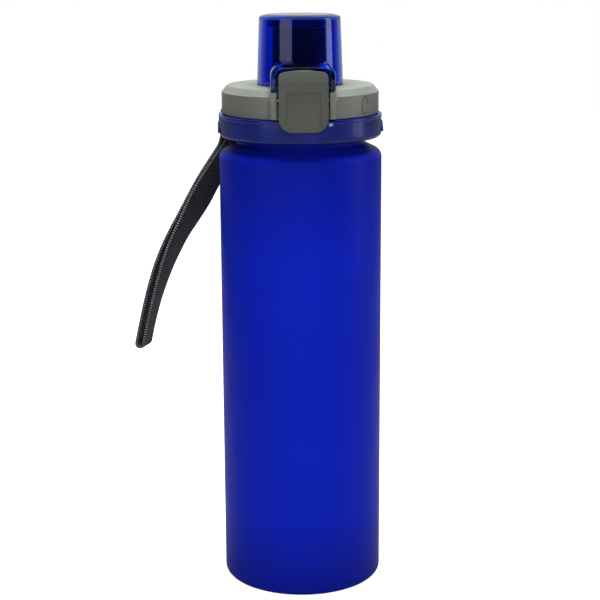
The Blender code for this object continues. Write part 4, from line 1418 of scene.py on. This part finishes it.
class BOTTLE_OT_strap(bpy.types.Operator):
    """Make the woven wrist strap and the stitches that close its loop"""

    bl_idname = "bottle.strap"
    bl_label = "Wrist Strap"

    def execute(self, context):
        sizes = context.scene.strap_sizes
        rows = strap_loop_rows()
        half, thick = sizes.width / 2, sizes.thickness / 2
        bead = 0.00075
        across = 22
        places = [-half + bead * 0.5 + (2 * half - bead) * i / across for i in range(across + 1)]
        length = sum((b[0] - a[0]).length for a, b in zip(rows, rows[1:] + rows[:1]))
        ribs = round(length / sizes.rib)
        bm = bmesh.new()
        uv = bm.loops.layers.uv.new("weave")
        rings, gone, spots = [], 0.0, {}
        for i, (place, side, out) in enumerate(rows):
            if i:
                gone += (place - rows[i - 1][0]).length
            phase = tau * ribs * gone / length
            ring = []
            for face in (1, -1):
                for u in places[:: face]:
                    edge = min(1.0, (half - abs(u)) / bead)
                    round_off = (1 - (1 - edge) ** 2) ** 0.5
                    groove = 0.00016 * (1 if 0.0010 < half - abs(u) < 0.0017 else 0)
                    rib = 0.00006 * cos(phase + u / 0.0016)
                    rise = thick * (0.35 + 0.65 * round_off) + (rib if edge >= 1 else rib * 0.6) - groove
                    swell = 0.00016 * cos(phase) * (1 if edge < 1 else 0) * (1 if u > 0 else -1)
                    vert = bm.verts.new(place + side * (u + swell) + out * rise * face)
                    spots[vert] = (u * 1000, gone * 1000)
                    ring.append(vert)
            rings.append(ring)
        count = len(rings[0])
        for i, (a, b) in enumerate(zip(rings, rings[1:] + rings[:1])):
            for k in range(count):
                quad = (a[k], a[(k + 1) % count], b[(k + 1) % count], b[k])
                face = bm.faces.new(quad)
                for loop in face.loops:
                    u, v = spots[loop.vert]
                    late = i == len(rings) - 1 and loop.vert in (b[k], b[(k + 1) % count])
                    loop[uv].uv = (u, length * 1000 if late else v)
        bmesh.ops.recalc_face_normals(bm, faces=bm.faces)
        strap = make("wrist_strap", bm, sharp=60.0)
        dress(strap, "ring", "woven_webbing", "webbing", "strap_loop")
        stitches = self.stitches(sizes)
        return {"FINISHED"}

    def stitches(self, sizes):
        """Zigzag seams through both layers, just below the lug."""
        frames = strap_frames()
        half = sizes.width / 2 - 0.0018
        paths = []
        for start in (0.0125, 0.0155):
            for outer in (True, False):
                path = []
                for i in range(25):
                    goal = start + (0.0012 if i % 2 else 0.0)
                    frame = min(frames, key=lambda f: abs(f[4] - goal))
                    place, side, out, _, gone = frame
                    sign = 1 if outer else -1
                    lift = layer_gap(gone, outer) + sizes.thickness / 2 + 0.00012
                    path.append(place + side * (-half + 2 * half * i / 24) + out * sign * lift)
                paths.append(path)
        seams = wire("tack_stitches", paths, 0.00016, sides=2)
        return dress(seams, "ring", "tack_thread", "webbing")


class BOTTLE_OT_stage(bpy.types.Operator):
    """Set the pale floor, the soft lights and the camera"""

    bl_idname = "bottle.stage"
    bl_label = "Floor, Lights and Camera"

    def execute(self, context):
        scene = context.scene
        bm = bmesh.new()
        bmesh.ops.create_circle(bm, cap_ends=True, segments=96, radius=2.0)
        floor = make("floor", bm)
        made, tree, bsdf = shader("pale_floor", Roughness=0.8, Specular_IOR_Level=0.2)
        where = add(tree, "ShaderNodeTexCoord").outputs["Object"]
        cloud = add(tree, "ShaderNodeTexNoise", [("Vector", where), ("Scale", 3.0), ("Detail", 2.0)])
        tone = mix(tree, cloud.outputs["Fac"], (0.30, 0.30, 0.30, 1), (0.32, 0.32, 0.32, 1))
        tree.links.new(tone, bsdf.inputs["Base Color"])
        bsdf.inputs["Emission Color"].default_value = (1, 1, 1, 1)
        ray = add(tree, "ShaderNodeLightPath").outputs
        seen = math(tree, "MAXIMUM", ray["Is Camera Ray"], ray["Is Transmission Ray"])
        tree.links.new(math(tree, "MULTIPLY", seen, 0.95), bsdf.inputs["Emission Strength"])
        floor.data.materials.append(made)
        world = bpy.data.worlds.new("soft_white")
        world.use_nodes = True
        tree = world.node_tree
        sky = tree.nodes["Background"]
        sky.inputs["Color"].default_value = (1.0, 1.0, 1.0, 1)
        ray = add(tree, "ShaderNodeLightPath").outputs
        where = add(tree, "ShaderNodeTexCoord").outputs["Generated"]
        depth = add(tree, "ShaderNodeSeparateXYZ", [(0, where)]).outputs[1]
        backdrop = span(tree, depth, 0.25, 0.85, 0.04, 1.0)
        scattered = math(tree, "MULTIPLY", ray["Is Glossy Ray"], 0.5)
        scattered = math(tree, "MAXIMUM", scattered, ray["Is Diffuse Ray"])
        dimmed = span(tree, scattered, 0.0, 1.0, 1.0, 0.3)
        strength = math(tree, "MULTIPLY", backdrop, dimmed)
        strength = math(tree, "MAXIMUM", strength, ray["Is Camera Ray"])
        tree.links.new(strength, sky.inputs["Strength"])
        scene.world = world
        scene.view_settings.view_transform = "Standard"
        lamps = (
            ("left_panel", (-0.64, -0.72, 0.36), (0.62, 0.9), 2.4, True, False),
            ("right_strip", (0.86, -0.06, 0.30), (0.32, 0.9), 2.4, True, False),
            ("front", (0.12, -1.35, 0.60), (0.7, 0.9), 12.5, False, True),
            ("overhead", (0.0, 0.05, 1.20), (0.6, 0.6), 36.0, False, True),
        )
        for name, at, (wide, tall), power, glints, fills in lamps:
            lamp = bpy.data.lights.new(name, "AREA")
            lamp.shape = "RECTANGLE"
            lamp.size, lamp.size_y = wide, tall
            lamp.energy = power
            obj = bpy.data.objects.new(name, lamp)
            obj.location = at
            obj.visible_glossy = obj.visible_transmission = glints
            obj.visible_diffuse = fills
            aim = Vector((0, 0, 0.14)) - Vector(at)
            obj.rotation_euler = aim.to_track_quat("-Z", "Y").to_euler()
            scene.collection.objects.link(obj)
        lens = bpy.data.cameras.new("camera")
        lens.lens = 92.46
        lens.sensor_width = 36
        lens.shift_x = -0.002
        lens.clip_start = 0.01
        camera = bpy.data.objects.new("camera", lens)
        turn, distance = radians(2.1), 0.6628
        camera.location = (-sin(turn) * distance, -cos(turn) * distance, 0.2785)
        tilt = Matrix.Rotation(-turn, 4, "Z") @ Matrix.Rotation(radians(90 - 13.006), 4, "X")
        camera.rotation_euler = (tilt @ Matrix.Rotation(radians(-0.3), 4, "Z")).to_euler()
        scene.collection.objects.link(camera)
        scene.camera = camera
        return {"FINISHED"}


class BOTTLE_PT_panel(bpy.types.Panel):
    """Buttons and sizes of the bottle"""

    bl_label = "Sports Bottle"
    bl_idname = "BOTTLE_PT_panel"
    bl_space_type = "VIEW_3D"
    bl_region_type = "UI"
    bl_category = "Bottle"

    def draw(self, context):
        scene = context.scene
        for settings in (scene.bottle_sizes, scene.strap_sizes, scene.bottle_colours):
            column = self.layout.column(align=True)
            for key in settings.__annotations__:
                column.prop(settings, key)
        column = self.layout.column(align=True)
        for maker in MAKERS:
            column.operator(maker.bl_idname)


MAKERS = (
    BOTTLE_OT_stage,
    BOTTLE_OT_body,
    BOTTLE_OT_core,
    BOTTLE_OT_seals,
    BOTTLE_OT_ring,
    BOTTLE_OT_cover,
    BOTTLE_OT_marks,
    BOTTLE_OT_cap,
    BOTTLE_OT_latch,
    BOTTLE_OT_hardware,
    BOTTLE_OT_strap,
)
CLASSES = (BottleSizes, StrapSizes, BottleColours, *MAKERS, BOTTLE_PT_panel)


def register():
    for cls in CLASSES:
        bpy.utils.register_class(cls)
    bpy.types.Scene.bottle_sizes = PointerProperty(type=BottleSizes)
    bpy.types.Scene.strap_sizes = PointerProperty(type=StrapSizes)
    bpy.types.Scene.bottle_colours = PointerProperty(type=BottleColours)


def unregister():
    del bpy.types.Scene.bottle_colours
    del bpy.types.Scene.strap_sizes
    del bpy.types.Scene.bottle_sizes
    for cls in reversed(CLASSES):
        bpy.utils.unregister_class(cls)


def main():
    register()
    bpy.ops.bottle.stage()
    bpy.ops.bottle.body()
    bpy.ops.bottle.core()
    bpy.ops.bottle.seals()
    bpy.ops.bottle.ring()
    bpy.ops.bottle.cover()
    bpy.ops.bottle.marks()
    bpy.ops.bottle.cap()
    bpy.ops.bottle.latch()
    bpy.ops.bottle.hardware()
    bpy.ops.bottle.strap()


if __name__ == "__main__":
    main()
